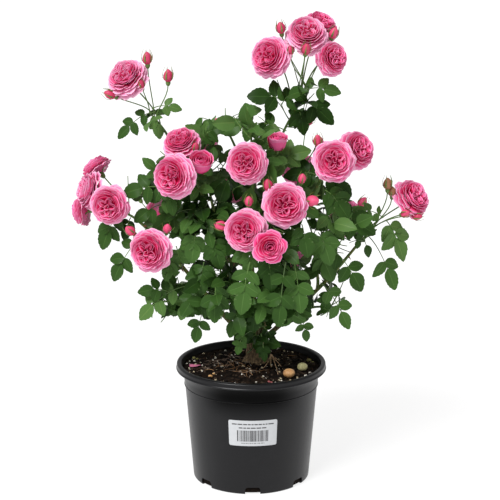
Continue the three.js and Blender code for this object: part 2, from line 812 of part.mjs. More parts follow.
// Finishes, one for each kind of piece
const finish = (color, roughness) => new THREE.MeshStandardMaterial({ color, roughness, metalness: 0 });
const finishes = {
  pot: finish(0x1b1c1e, 0.5),
  label: finish(0xe9eaea, 0.45),
  soil: finish(0x2a1d14, 0.95),
  tan: finish(0xc79058, 0.6),
  olive: finish(0x9c9a62, 0.6),
  bark: finish(0x5d5a33, 0.8),
  foliage: finish(0x38662f, 0.5),
};

const bush = new THREE.Group();
bush.name = "rose_bush";

function add(name, solid, material) {
  const mesh = new THREE.Mesh(geometryOf(solid), material);
  mesh.name = name;
  bush.add(mesh);
}

add("pot", potSolid(), finishes.pot);
add("label", labelSolid(), finishes.label);
add("soil", soilSolid(), finishes.soil);
for (const [colour, pebble] of Object.entries(PEBBLES)) {
  add(`pebble_${colour}`, pebbleSolid(pebble), finishes[colour]);
}

const limbs = growCanes();
for (const [name, { solid }] of Object.entries(limbs)) {
  add(name === "stool" ? name : `${name}_cane`, solid, finishes.bark);
}
Object.keys(SPRAYS).forEach((name, i) => {
  add(`${name}_spray`, spraySolid(name, limbs, FIRST_SEED + SEED_STEP * i), finishes.foliage);
});

export default bush;
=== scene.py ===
"""Looks of a rose bush in a nursery pot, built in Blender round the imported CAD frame.

Sizes and places are in millimetres until a finished mesh is scaled to metres. The origin is the
centre of the pot's flat underside, +Z is up and -Y is the front.
"""

import math

import bmesh
import bpy
import numpy as np
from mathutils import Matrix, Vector, noise


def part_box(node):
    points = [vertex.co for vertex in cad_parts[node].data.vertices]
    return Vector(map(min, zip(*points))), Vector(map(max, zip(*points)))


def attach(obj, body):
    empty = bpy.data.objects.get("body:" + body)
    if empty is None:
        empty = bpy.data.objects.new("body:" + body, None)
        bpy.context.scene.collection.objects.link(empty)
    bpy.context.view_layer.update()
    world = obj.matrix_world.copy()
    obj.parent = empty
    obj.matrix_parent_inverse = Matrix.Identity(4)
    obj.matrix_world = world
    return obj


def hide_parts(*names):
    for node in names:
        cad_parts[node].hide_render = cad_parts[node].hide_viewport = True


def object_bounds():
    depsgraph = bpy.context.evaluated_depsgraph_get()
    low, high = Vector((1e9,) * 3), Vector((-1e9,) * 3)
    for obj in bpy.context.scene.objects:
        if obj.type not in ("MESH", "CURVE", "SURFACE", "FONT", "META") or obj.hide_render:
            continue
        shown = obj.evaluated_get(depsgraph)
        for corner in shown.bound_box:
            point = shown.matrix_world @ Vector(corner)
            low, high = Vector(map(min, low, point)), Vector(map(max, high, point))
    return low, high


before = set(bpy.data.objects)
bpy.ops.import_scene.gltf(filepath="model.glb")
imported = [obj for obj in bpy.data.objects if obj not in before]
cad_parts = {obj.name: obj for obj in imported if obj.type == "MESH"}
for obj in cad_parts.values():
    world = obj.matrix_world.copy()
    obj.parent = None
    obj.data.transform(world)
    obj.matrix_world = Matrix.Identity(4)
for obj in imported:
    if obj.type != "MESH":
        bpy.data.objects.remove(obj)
CAD_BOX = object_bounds()

MM = 0.001
PIECE_TRIANGLES = 190000
UP = np.array([0.0, 0.0, 1.0])
GOLDEN_ANGLE = math.pi * (3 - math.sqrt(5))

# Camera, at the photograph's angle
CAMERA = {"place": (-2, -2520, 1013), "pitch": 13.85, "lens": 113.2}
VIEW = np.array([0.0, -math.cos(math.radians(CAMERA["pitch"])), math.sin(math.radians(CAMERA["pitch"]))])

# Floor and lights of the stage, in metres and degrees
FLOOR_REACH = 30
SKY_STRENGTH = 0.5
SUN = {"way": (0.4, 0.55, -0.75), "energy": 3.0, "angle": 28}

# Pot, with its rolled rim, the flare under it and its drain notches
POT = {
    "height": 200, "rim_radius": 126, "mouth_radius": 117, "lip_foot": 189, "neck_radius": 118,
    "flare_foot": 173, "flare_radius": 112.7, "step_foot": 163, "body_radius": 111.2,
    "foot_radius": 97.7, "wall": 2.2, "floor": 2.5, "sides": 168, "crease": 32,
}
NOTCH = {"count": 7, "turn": 1.5, "width": 25, "height": 12.5, "round": 5, "inner": 80, "depth": 40}

# Label on the front of the pot, with rows of plain bars and a block of plain stripes
LABEL = {"width": 80, "low": 88, "high": 133, "turn": 1.5, "thick": 0.4, "gap": 0.3, "corner": 3}
BAR_LINES = [
    {"z": 126.3, "high": 1.9, "reach": 34, "bar": (3.0, 9.0), "space": 1.3},
    {"z": 120.0, "high": 1.9, "reach": 23, "bar": (3.0, 8.0), "space": 1.3},
    {"z": 93.0, "high": 1.1, "reach": 19, "bar": (1.0, 4.0), "space": 1.2},
]
STRIPES = {"low": 96, "high": 115.6, "reach": 26, "bar": (0.5, 1.9), "space": 0.9}
INK = {"sunk": 0.12, "proud": 0.05}

# Soil, which fills the pot to a low mound, and what lies on it
SOIL = {"top": 194, "edge": 190, "flat_radius": 70, "gap": 0.6, "lump": 2.2, "sides": 150, "rings": 50}
GRAINS = {"count": 170, "size": (0.8, 2.1), "flat": 0.8, "spread": 0.3, "tones": 2}
CRUMBS = {"count": 560, "size": (1.2, 3.8), "flat": 0.6, "spread": 0.45, "tones": 3}

# Coloured chips, each as its x, y, radius and colour: tan, olive or red
CHIPS = [(-67, -58, 4.0, 0), (-19, 79, 4.2, 0), (-62, -50, 2.4, 0), (98, 31, 4.4, 1), (104, 24, 3.2, 1),
         (-98, 48, 3.4, 1), (-92, 40, 2.6, 1), (29, -86, 2.8, 2), (33, -88, 2.2, 2), (66, -84, 2.6, 2)]

# Loose straws round the middles of their heaps, dead roots that fan out from one place, and a petal
STRAW = {"count": 60, "length": (14, 38), "radius": 0.6}
STRAW_HEAPS = [(-30, 30), (-48, -20), (-12, -20), (4, -50), (-30, 4), (92, 58)]
ROOT_FAN = {"start": (34, 47), "ends": [(21, -20), (35, -20), (45, -51), (52, -23), (48, 14), (28, 10)],
            "radius": 1.1, "arch": 2}
FALLEN_PETAL = {"place": (-93.4, -9.5), "turn": 10, "length": 20, "width": 11, "thick": 0.5, "lies": 3.5}

# Stool, the short thick foot that all the canes rise from. Its section gives its radius at shares of
# its height.
STOOL = {
    "foot": (9, 24, 194.3), "top": (6, 22, 238), "lobes": 5, "lobe": 0.2, "canes_out": 11, "sunk": 3,
    "sides": 48, "rows": 30,
}
STOOL_SECTION = [(0, 24), (0.12, 20), (0.26, 17), (0.5, 15), (0.82, 18), (1, 13)]

# Canes, which leave each other partly along the parent's way and rise towards their tips, and prickles
CANE = {"sides": 14, "step": 5, "least_steps": 14, "relief": 0.06, "parent_way": 0.5, "rise": 0.25}
PRICKLE = {"length": 4.2, "gap": 26}

# Stem of a spray, which runs on past the spray's middle where that keeps it inside the crown's outline,
# with the shares of its length from which its roses and buds stand, and over how much of it they do.
# Then the stem's side shoots.
STEM = {"radius": 2.1, "past": 0.3, "clear": 20, "roses_from": 0.4, "buds_from": 0.5, "flowers_over": 0.5}
SHOOTS = {
    "per_leaf": 0.95, "from": 0.1, "over": 0.88, "share": 0.62, "longest": 72, "shortest": 18,
    "forward": 0.5, "sag": 0.06, "rise": 0.12, "radius": 1.2, "leaves": 4,
}

# Compound leaves: a rib with a leaflet at its tip and pairs behind it. A leaf leans from the stem by
# so many radians at the stem's foot and at its tip.
LEAF = {
    "least": 50, "most": 112, "shoot_most": 96, "lean": (0.1, 0.9), "uneven": 0.3, "sag": 0.3,
    "small": 0.72, "size_range": 0.38, "twist": 1.2, "ends_before": 0.9,
}
RIB = {"arch": 0.2, "radii": (0.95, 0.55)}
PAIRS = [{"at": 0.34, "size": 0.7}, {"at": 0.8, "size": 0.8}]
PAIR_ANGLE = 1.15
LEAFLET = {
    "length": 37, "width": 25, "thick": 0.4, "fold": 0.16, "droop": 0.16, "teeth": 0.02,
    "tooth_step": 0.012, "wave": 0.018, "veins": 0.004, "hang": 0.2, "uneven": 0.5,
}

# How leaf blades face: away from a line behind the pot's axis, less to the sides, and partly up
BLADES = {"side": 0.3, "turn_at": 40, "up": 0.45}

# How far the leaves of a spray stay off the mouth of the pot, the soil, the rim and the sides of the
# CAD's box, and how far they reach past the border with the next spray
ROOM = {"from_rim": 14, "over_soil": 6, "over_rim": 5, "in_box": 0.5, "overlap": 5}

# Room that leaflets leave each other, which widens from one distance off the pot's axis to another
LEAFLET_ROOM = {"inner": 9.5, "outer": 21, "from": 90, "to": 220}

# Where leaves stay out of a rose, as shares of its diameter: behind and before its middle, aside of
# its axis, and aside of it as the photograph sees it
ROSE_ROOM = {"behind": 0.3, "before": 1.6, "aside": 0.5, "seen_aside": 0.46}

# Painted shade: leaves take deeper tones towards the crown's middle, where the bush shades them
SHADE = {"tones": 5.0, "radius": 150, "centre": (0, 10, 430)}

# Seeds of the sprays, as in the part's source
FIRST_SEED = 1000
SEED_STEP = 83

# Every spray: its cane's start, tip and radii, the middle and reach of its space, how many leaves
# its stem carries, its leaves' tone and size where the photograph settles them, and its roses and
# buds, each as (x, y, z, turn, lift, diameter). The places are those of the part's source, but for
# the second rose of back_top_right, which stands 16 mm lower here.
SPRAYS = {
    "top": {
        "cane": {"from": "stool", "at": 0.95, "lean": (140, 80), "tip": (52, 14, 585), "radii": (5.2, 2.6)},
        "centre": (84, 5, 642), "reach": (84, 62, 84), "leaves": 13,
        "roses": [(29, -20, 713, -30, 20, 69), (88, -12, 748, 0, 42, 66), (112, 32, 757, 35, 55, 62),
                  (129, -20, 711, 35, 15, 58)],
        "buds": [(47, -15, 757, -25, 70, 16), (131, -5, 748, 40, 60, 16), (86, -52, 728, 10, 55, 16),
                 (62, -22, 722, -20, 75, 13)],
    },
    "upper_left": {
        "cane": {"from": "left_shoulder", "at": 0.78, "tip": (-136, -6, 585), "radii": (3.0, 2.1)},
        "centre": (-164, -6, 622), "reach": (66, 55, 62), "leaves": 9,
        "roses": [(-200, -10, 678, -35, 40, 67)],
        "buds": [(-166, -10, 708, -10, 80, 17), (-133, -10, 680, 10, 80, 17),
                 (-225, -18, 652, -70, 25, 16), (-176, -26, 670, -30, 60, 14)],
    },
    "left": {
        "cane": {"from": "stool", "at": 0.72, "lean": (-97, 42), "tip": (-185, -15, 445),
                 "radii": (4.6, 2.4)},
        "centre": (-228, -25, 470), "reach": (86, 80, 86), "leaves": 14,
        "roses": [(-254, 10, 527, -115, 42, 54), (-262, -30, 499, -68, 15, 60),
                  (-226, -80, 485, -12, 0, 64), (-276, -18, 462, -100, -5, 52)],
    },
    "left_shoulder": {
        "cane": {"from": "stool", "at": 0.9, "lean": (-52, 66), "tip": (-82, -35, 500),
                 "radii": (5.0, 2.6)},
        "centre": (-108, -72, 545), "reach": (76, 84, 78), "leaves": 13,
        "roses": [(-111, -70, 584, -25, 52, 62), (-122, -115, 538, -26, 8, 71), (-79, -95, 554, 5, 50, 38)],
        "buds": [(-88, -84, 578, 20, 60, 14)],
    },
    "left_hip": {
        "cane": {"from": "left", "at": 0.62, "tip": (-120, -45, 375), "radii": (2.8, 2.1)},
        "centre": (-160, -68, 395), "reach": (74, 80, 76), "leaves": 13,
        "roses": [(-161, -110, 417, -18, 5, 70)],
        "buds": [(-191, -95, 446, -50, 40, 16), (-133, -98, 450, 20, 60, 14)],
    },
    "low_left": {
        "cane": {"from": "left", "at": 0.4, "tip": (-104, -16, 305), "radii": (2.6, 2.0)},
        "centre": (-150, -20, 308), "reach": (88, 74, 66), "leaves": 14,
    },
    "centre_top": {
        "cane": {"from": "front", "at": 0.8, "tip": (2, -35, 525), "radii": (3.0, 2.2)},
        "centre": (0, -72, 584), "reach": (76, 80, 66), "leaves": 12,
        "roses": [(-8, -115, 559, -10, 12, 66), (41, -60, 581, 0, 72, 33)],
    },
    "middle": {
        "cane": {"from": "top", "at": 0.8, "tip": (-25, 8, 560), "radii": (2.6, 2.0)},
        "centre": (-50, 5, 612), "reach": (72, 60, 46), "leaves": 10,
    },
    "front": {
        "cane": {"from": "stool", "at": 0.75, "lean": (4, 48), "tip": (20, -55, 405), "radii": (4.4, 2.4)},
        "centre": (28, -100, 452), "reach": (78, 84, 82), "leaves": 15,
        "roses": [(52, -130, 496, 0, 12, 72), (-10, -135, 456, -12, 8, 68), (28, -150, 434, 8, 4, 56)],
        "buds": [(-47, -120, 460, -70, 20, 17), (-4, -121, 499, 5, 70, 14), (26, -115, 523, -20, 70, 17),
                 (79, -110, 533, 20, 60, 14), (95, -119, 500, 50, 10, 18)],
    },
    "right_shoulder": {
        "cane": {"from": "stool", "at": 0.92, "lean": (50, 64), "tip": (112, -30, 515),
                 "radii": (5.0, 2.6)},
        "centre": (146, -62, 556), "reach": (72, 80, 72), "leaves": 11,
        "roses": [(129, -110, 562, 2, 15, 68), (169, -60, 571, 38, 25, 64)],
        "buds": [(104, -95, 590, -15, 70, 16)],
    },
    "right_arm": {
        "cane": {"from": "right", "at": 0.58, "tip": (112, -20, 415), "radii": (2.8, 2.1)},
        "centre": (150, -35, 445), "reach": (78, 76, 68), "leaves": 14, "tone": 1,
    },
    "right": {
        "cane": {"from": "stool", "at": 0.7, "lean": (92, 42), "tip": (172, -10, 400), "radii": (4.6, 2.4)},
        "centre": (206, -5, 428), "reach": (86, 62, 100), "leaves": 13, "tone": 1,
        "roses": [(264, 0, 480, 45, 35, 67)],
        "buds": [(222, -10, 504, -5, 82, 16), (230, -5, 490, 8, 80, 14), (250, -22, 458, 40, 20, 14),
                 (270, -14, 452, 60, 5, 14)],
    },
    "low_right": {
        "cane": {"from": "right", "at": 0.38, "tip": (94, -24, 298), "radii": (2.6, 2.0)},
        "centre": (132, -30, 302), "reach": (84, 74, 66), "leaves": 14,
    },
    "skirt_left": {
        "cane": {"from": "front", "at": 0.36, "tip": (-34, -48, 318), "radii": (2.6, 2.0)},
        "centre": (-50, -85, 338), "reach": (74, 76, 74), "leaves": 14,
    },
    "skirt_right": {
        "cane": {"from": "front", "at": 0.5, "tip": (46, -50, 322), "radii": (2.6, 2.0)},
        "centre": (55, -85, 338), "reach": (74, 76, 74), "leaves": 14, "tone": 2,
    },
    "foot": {
        "cane": {"from": "stool", "at": 0.5, "lean": (-6, 20)},
        "centre": (6, -22, 264), "reach": (58, 56, 60), "leaves": 8, "leaf_size": 0.75,
    },
    "heart": {
        "cane": {"from": "front", "at": 0.62, "tip": (-48, -28, 420), "radii": (2.6, 2.0)},
        "centre": (-74, -50, 462), "reach": (72, 72, 72), "leaves": 14,
    },
    "back_top_left": {
        "cane": {"from": "left_shoulder", "at": 0.55, "tip": (-70, 58, 480), "radii": (3.2, 2.2)},
        "centre": (-85, 95, 522), "reach": (84, 82, 82), "leaves": 12,
        "roses": [(-92, 150, 548, -160, 22, 68)],
        "buds": [(-60, 138, 578, 170, 65, 16)],
    },
    "back_top_right": {
        "cane": {"from": "right_shoulder", "at": 0.55, "tip": (76, 58, 480), "radii": (3.2, 2.2)},
        "centre": (88, 95, 526), "reach": (84, 82, 82), "leaves": 12,
        "roses": [(84, 165, 498, 168, 18, 64), (136, 128, 524, 128, 18, 62)],
        "buds": [(98, 140, 584, 140, 65, 16)],
    },
    "back_left": {
        "cane": {"from": "back_centre", "at": 0.62, "tip": (-95, 60, 385), "radii": (3.0, 2.1)},
        "centre": (-140, 85, 400), "reach": (82, 84, 80), "leaves": 14,
        "roses": [(-158, 140, 420, -145, 10, 68)],
        "buds": [(-195, 118, 458, -120, 50, 16)],
    },
    "back_centre": {
        "cane": {"from": "stool", "at": 0.8, "lean": (178, 55), "tip": (0, 95, 400), "radii": (4.8, 2.5)},
        "centre": (0, 128, 440), "reach": (80, 80, 80), "leaves": 12,
        "roses": [(-26, 182, 468, -172, 12, 70), (40, 178, 436, 168, 6, 66)],
        "buds": [(8, 170, 502, 176, 60, 16)],
    },
    "back_right": {
        "cane": {"from": "back_centre", "at": 0.72, "tip": (95, 60, 385), "radii": (3.0, 2.1)},
        "centre": (140, 85, 400), "reach": (82, 84, 80), "leaves": 14,
        "roses": [(168, 138, 416, 140, 10, 68)],
        "buds": [(190, 118, 446, 110, 50, 16)],
    },
    "back_low_left": {
        "cane": {"from": "back_centre", "at": 0.4, "tip": (-50, 76, 300), "radii": (2.8, 2.0)},
        "centre": (-70, 96, 312), "reach": (82, 80, 72), "leaves": 13,
    },
    "back_low_right": {
        "cane": {"from": "back_centre", "at": 0.5, "tip": (50, 76, 302), "radii": (2.8, 2.0)},
        "centre": (68, 96, 314), "reach": (82, 80, 72), "leaves": 13,
        "roses": [(62, 166, 344, 170, 0, 64)],
    },
}

# Leaves that the photograph shows one by one, by spray: each as the x and z of its start, the x and z
# of its tip, the y of its start and its size. The tip lies a little nearer the front.
TIP_NEARER = 6
SHOWN_LEAVES = {
    "top": [(57, 592, -50, 607, -10, 1.05), (30, 596, -6, 634, -10, 0.75), (69, 630, 0, 663, -12, 1.0),
        (73, 645, 136, 614, -10, 1.0), (78, 623, 88, 590, -14, 0.9), (82, 655, 142, 665, -6, 0.8)],
    "upper_left": [(-156, 623, -218, 588, -10, 0.75), (-160, 628, -113, 636, -10, 0.6),
        (-153, 620, -147, 582, -10, 0.7)],
    "left": [(-212, 466, -246, 411, -50, 0.95), (-194, 458, -208, 422, -50, 0.6),
        (-139, 481, -190, 464, -60, 0.85)],
    "left_shoulder": [(-128, 505, -203, 516, -70, 0.95), (-140, 522, -164, 562, -70, 0.7),
        (-66, 548, -37, 568, -60, 0.8), (-110, 500, -160, 485, -80, 0.95),
        (-102, 462, -163, 446, -30, 1.0), (-126, 494, -180, 476, -66, 0.95)],
    "left_hip": [(-175, 429, -228, 364, -70, 0.92), (-126, 404, -139, 364, -80, 0.75),
        (-120, 418, -108, 370, -80, 0.9)],
    "low_left": [(-105, 346, -187, 300, -60, 0.95), (-130, 334, -181, 348, -60, 0.75),
        (-88, 347, -119, 290, -50, 0.72)],
    "centre_top": [(-14, 508, -58, 486, -40, 0.9), (48, 548, 87, 577, -40, 0.9),
        (60, 551, 30, 537, -70, 0.75)],
    "middle": [(-70, 578, -96, 611, -30, 0.8), (-82, 580, -44, 613, -30, 0.75)],
    "front": [(-2, 404, -18, 322, -128, 1.1), (54, 405, 42, 302, -132, 1.05),
        (26, 420, 33, 359, -126, 0.95), (79, 463, 91, 413, -120, 0.95), (4, 426, -11, 384, -120, 0.7)],
    "right_shoulder": [(118, 523, 164, 504, -50, 0.9), (117, 507, 160, 469, -70, 1.0),
        (107, 524, 56, 538, -40, 0.95)],
    "right_arm": [(135, 457, 202, 445, -50, 1.05), (124, 412, 185, 345, -60, 1.0),
        (106, 444, 131, 395, -95, 1.0), (104, 406, 137, 361, -60, 1.0)],
    "right": [(216, 448, 170, 470, -10, 0.6), (174, 436, 196, 388, -20, 0.6),
        (184, 412, 142, 407, -20, 0.55), (220, 445, 257, 382, -10, 1.15),
        (192, 418, 242, 333, -10, 1.05)],
    "low_right": [(112, 352, 163, 280, -60, 0.9), (128, 338, 116, 304, -60, 0.65)],
    "skirt_left": [(-71, 328, -93, 261, -80, 0.75), (-56, 369, -59, 305, -118, 1.0),
        (-21, 311, -37, 273, -90, 0.8)],
    "skirt_right": [(76, 313, 93, 255, -60, 0.6), (67, 402, 80, 322, -120, 1.0),
        (11, 331, 1, 280, -90, 0.9)],
    "foot": [(5, 269, -28, 250, -50, 0.7), (16, 266, 23, 221, -60, 0.7), (18, 273, 41, 248, -40, 0.6),
        (-12, 268, -24, 234, -62, 0.65)],
    "heart": [(-88, 440, -97, 396, -90, 0.95), (-62, 433, -46, 388, -100, 0.95),
        (-75, 397, -85, 342, -100, 1.0)],
    "back_right": [(147, 433, 187, 453, 88, 0.8), (144, 409, 191, 400, 84, 0.7)],
    "back_low_right": [(65, 367, 94, 337, 100, 0.75)],
    "back_left": [(-145, 425, -185, 414, 84, 0.75)],
    "back_top_left": [(-49, 570, -90, 545, 100, 0.8)],
}

# The crown's outline in the photograph, as (x, z) on the upright plane through the pot's middle: the
# bush, its top spray and its upper left spray
CROWN_OUTLINES = [
    [(-125, 595), (-115, 610), (-89, 613), (-52, 621), (-17, 621), (-13, 638), (1, 642), (17, 628),
     (40, 621), (43, 595), (63, 575), (90, 571), (94, 549), (109, 526), (129, 504), (164, 509),
     (171, 493), (160, 468), (205, 463), (208, 439), (189, 429), (189, 400), (183, 371), (187, 325),
     (174, 328), (157, 340), (147, 323), (163, 311), (161, 289), (165, 258), (153, 256), (136, 275),
     (101, 275), (88, 261), (65, 268), (58, 245), (42, 216), (28, 198), (11, 198), (-2, 224),
     (-32, 228), (-42, 244), (-52, 268), (-77, 271), (-92, 261), (-105, 275), (-125, 271), (-144, 275),
     (-182, 271), (-186, 323), (-168, 335), (-151, 332), (-134, 358), (-142, 409), (-166, 429),
     (-193, 432), (-197, 493), (-206, 496), (-204, 513), (-181, 516), (-176, 536), (-158, 538),
     (-132, 575)],
    [(-2, 667), (17, 671), (46, 663), (62, 657), (78, 667), (98, 673), (144, 668), (145, 646),
     (135, 611), (114, 610), (101, 621), (102, 602), (92, 587), (76, 592), (53, 605), (40, 595),
     (17, 595), (3, 625)],
    [(-221, 585), (-216, 602), (-177, 611), (-170, 631), (-150, 644), (-131, 650), (-113, 646),
     (-112, 621), (-125, 611), (-128, 582), (-151, 579), (-170, 589), (-197, 582)],
]

# The crown's larger gaps in the photograph, on the same plane: (x, z, half width, half height)
OPEN_GAPS = [(-28, 576, 30, 14), (160, 402, 15, 6), (-169, 467, 27, 8), (41, 619, 8, 21),
             (101, 650, 9, 12), (15, 612, 9, 11), (155, 390, 11, 8), (94, 548, 7, 11), (-59, 535, 9, 8),
             (-112, 352, 7, 12), (54, 617, 4, 19), (-152, 632, 6, 7), (-47, 267, 7, 9),
             (-25, 478, 10, 7), (-145, 607, 5, 9), (183, 394, 8, 7), (-80, 383, 5, 8), (-62, 354, 6, 6),
             (-126, 398, 5, 7), (134, 308, 7, 6), (129, 457, 5, 8), (82, 540, 6, 5), (87, 628, 6, 5),
             (121, 420, 10, 5), (57, 511, 6, 6), (-115, 400, 6, 6), (130, 636, 5, 5), (158, 365, 6, 5),
             (91, 429, 6, 6), (-80, 416, 5, 7), (-62, 468, 6, 4), (59, 525, 5, 5), (71, 504, 5, 5),
             (115, 299, 6, 5), (-27, 270, 5, 4), (7, 259, 5, 5), (205, 398, 14, 11), (-42, 295, 5, 5),
             (-25, 253, 4, 4), (17, 255, 5, 4), (36, 256, 5, 4), (103, 343, 5, 8), (108, 322, 8, 5),
             (91, 315, 4, 4), (-74, 320, 5, 5), (-87, 275, 5, 5)]

# Roses that are half blown, just opening or paler and wider with age, and buds still green, each by
# its spray and its place in the list there
YOUNG_ROSES = {("front", 2)}
CUP_ROSES = {("left_shoulder", 2), ("centre_top", 1)}
FADED_ROSES = {("left", 1), ("top", 1), ("upper_left", 0)}
GREEN_BUDS = {("right", 0), ("right", 1)}

# Plain colours of the plant, as screen colours from light to dark
PETAL_TONES = [(244, 184, 212), (242, 158, 198), (240, 130, 178), (241, 102, 158), (239, 76, 138),
               (232, 56, 120), (216, 38, 102), (194, 28, 84)]
LEAF_TONES = [(80, 112, 56), (64, 96, 43), (49, 78, 31), (34, 60, 19), (22, 43, 11), (13, 29, 6)]
VEIN_TONE = (98, 126, 66)
UNDERSIDE_TONE = (84, 108, 62)
TWIG_TONES = [(86, 118, 52), (74, 102, 48), (104, 96, 52)]
SEPAL_TONES = [(96, 124, 58), (120, 128, 62), (136, 104, 66)]
BUD_TONES = [(222, 72, 116), (200, 52, 94), (156, 104, 74)]


def unit(v):
    return v / np.linalg.norm(v, axis=-1, keepdims=True)


def vec(values):
    return np.array(values, float)


def facing(turn, lift):
    """The direction that a turn and a lift in degrees give, with turn 0 at the front."""
    turn, lift = math.radians(turn), math.radians(lift)
    return vec([math.sin(turn) * math.cos(lift), -math.cos(turn) * math.cos(lift), math.sin(lift)])


def square_to(v, along):
    """The part of a vector that stands square to another."""
    return unit(v - along * np.dot(v, along))


def turned(v, axis, angle):
    """A vector turned about an axis."""
    cos, sin = math.cos(angle), math.sin(angle)
    return v * cos + np.cross(axis, v) * sin + axis * np.dot(axis, v) * (1 - cos)


def seeded(seed):
    """The source's repeatable stream of numbers from 0 to 1."""
    state = seed

    def draw():
        nonlocal state
        state = (state * 16807) % 2147483647
        return state / 2147483647

    return draw


def seen_place(points):
    """Where the camera sees points, as places on the upright plane through the pot's middle."""
    eye = vec(CAMERA["place"])
    share = eye[1] / (eye[1] - points[:, 1])
    return eye[[0, 2]] + (points[:, [0, 2]] - eye[[0, 2]]) * share[:, None]


def inside(places, outline):
    """Whether each place lies inside a closed outline, by how often a level line from it crosses it."""
    start, end = vec(outline), np.roll(vec(outline), -1, axis=0)
    x, z = places[:, :1], places[:, 1:]
    spans = (start[:, 1] > z) != (end[:, 1] > z)
    with np.errstate(divide="ignore", invalid="ignore"):
        cross = start[:, 0] + (z - start[:, 1]) / (end[:, 1] - start[:, 1]) * (end[:, 0] - start[:, 0])
    return (spans & (x < cross)).sum(1) % 2 == 1


def before_gap(points):
    """Whether any of the points, or a place halfway from one to the next, would stand in a gap."""
    x, z, half_width, half_height = vec(OPEN_GAPS).T
    places = seen_place(np.concatenate([points, (points[1:] + points[:-1]) / 2]))
    away = places[:, None] - np.stack([x, z], -1)
    return bool((np.hypot(away[..., 0] / half_width, away[..., 1] / half_height) < 1).any())


def outside_crown(points):
    """Whether any of the points would stand outside the crown's outline in the photograph."""
    places = seen_place(points)
    return not np.any([inside(places, outline) for outline in CROWN_OUTLINES], axis=0).all()


class Curve:
    """A Bezier curve, met by shares of its length."""

    STEPS = 60

    def __init__(self, *points):
        t = np.linspace(0, 1, self.STEPS + 1)[:, None]
        level = [vec(p) for p in points]
        while len(level) > 1:
            level = [(1 - t) * a + t * b for a, b in zip(level, level[1:])]
        self.line = level[0]
        gaps = np.linalg.norm(np.diff(self.line, axis=0), axis=1)
        self.run = np.concatenate([[0], np.cumsum(gaps)])
        self.length = self.run[-1]

    def at(self, share):
        where = np.asarray(share) * self.length
        return np.stack([np.interp(where, self.run, self.line[:, i]) for i in range(3)], -1)

    def way(self, share):
        return unit(self.at(min(share + 0.02, 1)) - self.at(max(share - 0.02, 0)))


# Meshes. A face is a row of four corner numbers, and a triangle repeats its last corner.
def grid_faces(rows, columns, around=False):
    """The faces of a grid of points. around joins the last column to the first."""
    across = columns if around else columns - 1
    i, j = np.meshgrid(np.arange(rows - 1), np.arange(across), indexing="ij")
    a = i * columns + j
    b = i * columns + (j + 1) % columns
    return np.stack([a, b, b + columns, a + columns], -1).reshape(-1, 4)


def tube_faces(rows, columns):
    """The faces of a tube, closed at each end round one more point, the start's before the end's."""
    j = np.arange(columns)
    k = (j + 1) % columns
    start, end = rows * columns, rows * columns + 1
    top = (rows - 1) * columns
    caps = [np.stack([start + 0 * j, k, j, j], -1), np.stack([end + 0 * j, top + j, top + k, top + k], -1)]
    return np.concatenate([grid_faces(rows, columns, around=True), *caps])


def circle(sides):
    return np.arange(sides) * 2 * math.pi / sides


def taper(start, end):
    """A tube's radius that runs evenly from its start's to its end's."""
    return lambda share, angle: start + (end - start) * share + 0 * angle


def tube_points(curve, radius, sides, steps):
    """Points of a tube along a curve. radius takes shares of the length, as a column, and angles."""
    share, angle = np.linspace(0, 1, steps + 1), circle(sides)
    cos, sin = np.cos(angle)[:, None], np.sin(angle)[:, None]
    centres = curve.at(share)
    ways = unit(np.gradient(centres, axis=0))
    radii = np.broadcast_to(radius(share[:, None], angle), (steps + 1, sides))
    normal = unit(np.cross(ways[0], [0.31, 0.87, 0.39]))
    rings = []
    for centre, way, out in zip(centres, ways, radii):
        normal = square_to(normal, way)
        rings.append(centre + out[:, None] * (cos * normal + sin * np.cross(way, normal)))
    return np.concatenate([*rings, centres[:1], centres[-1:]])


class Shell:
    """Thin closed blades of rows by columns points: two sheets that share their border."""

    def __init__(self, rows, columns):
        index = np.arange(rows * columns).reshape(rows, columns)
        self.inner = np.zeros((rows, columns), bool)
        self.inner[1:-1, 1:-1] = True
        under = index.copy()
        under[self.inner] = rows * columns + np.arange(self.inner.sum())
        lower = grid_faces(rows, columns)
        self.faces = np.concatenate([lower[:, ::-1], under.ravel()[lower]])

    def points(self, sheets, thick):
        """The points of blades whose middle surfaces are given as (blade, row, column, xyz)."""
        normal = np.cross(np.gradient(sheets, axis=1), np.gradient(sheets, axis=2))
        half = thick / 2 * normal / np.maximum(np.linalg.norm(normal, axis=-1, keepdims=True), 1e-9)
        over = sheets + half * self.inner[..., None]
        under = (sheets - half)[:, self.inner]
        return np.concatenate([over.reshape(len(sheets), -1, 3), under], axis=1)


# Petals, as shells whose rows crowd towards the rim
PETAL_MARKS = vec([0, 0.3, 0.55, 0.72, 0.84, 0.92, 0.97, 1])
PETAL_ROWS, PETAL_COLUMNS = len(PETAL_MARKS), 7
PETAL_SHELL = Shell(PETAL_ROWS, PETAL_COLUMNS)


def mesh_object(name, points, faces, materials, tones=0, crease=50):
    """A Blender object in metres from points and faces in millimetres. tones says which of the
    materials a face has, and crease the angle in degrees from which an edge is sharp."""
    corners = np.ones(faces.shape, bool)
    corners[:, 3] = faces[:, 2] != faces[:, 3]
    totals = corners.sum(1)
    mesh = bpy.data.meshes.new(name)
    mesh.vertices.add(len(points))
    mesh.vertices.foreach_set("co", (points * MM).ravel())
    mesh.loops.add(int(totals.sum()))
    mesh.loops.foreach_set("vertex_index", faces[corners].astype(np.int32))
    mesh.polygons.add(len(faces))
    mesh.polygons.foreach_set("loop_start", (np.cumsum(totals) - totals).astype(np.int32))
    mesh.polygons.foreach_set("material_index", np.broadcast_to(tones, len(faces)).astype(np.int32))
    mesh.polygons.foreach_set("use_smooth", np.ones(len(faces), bool))
    for material in materials:
        mesh.materials.append(material)
    mesh.update(calc_edges=True)
    mesh.set_sharp_from_angle(angle=math.radians(crease))
    return in_scene(name, mesh)


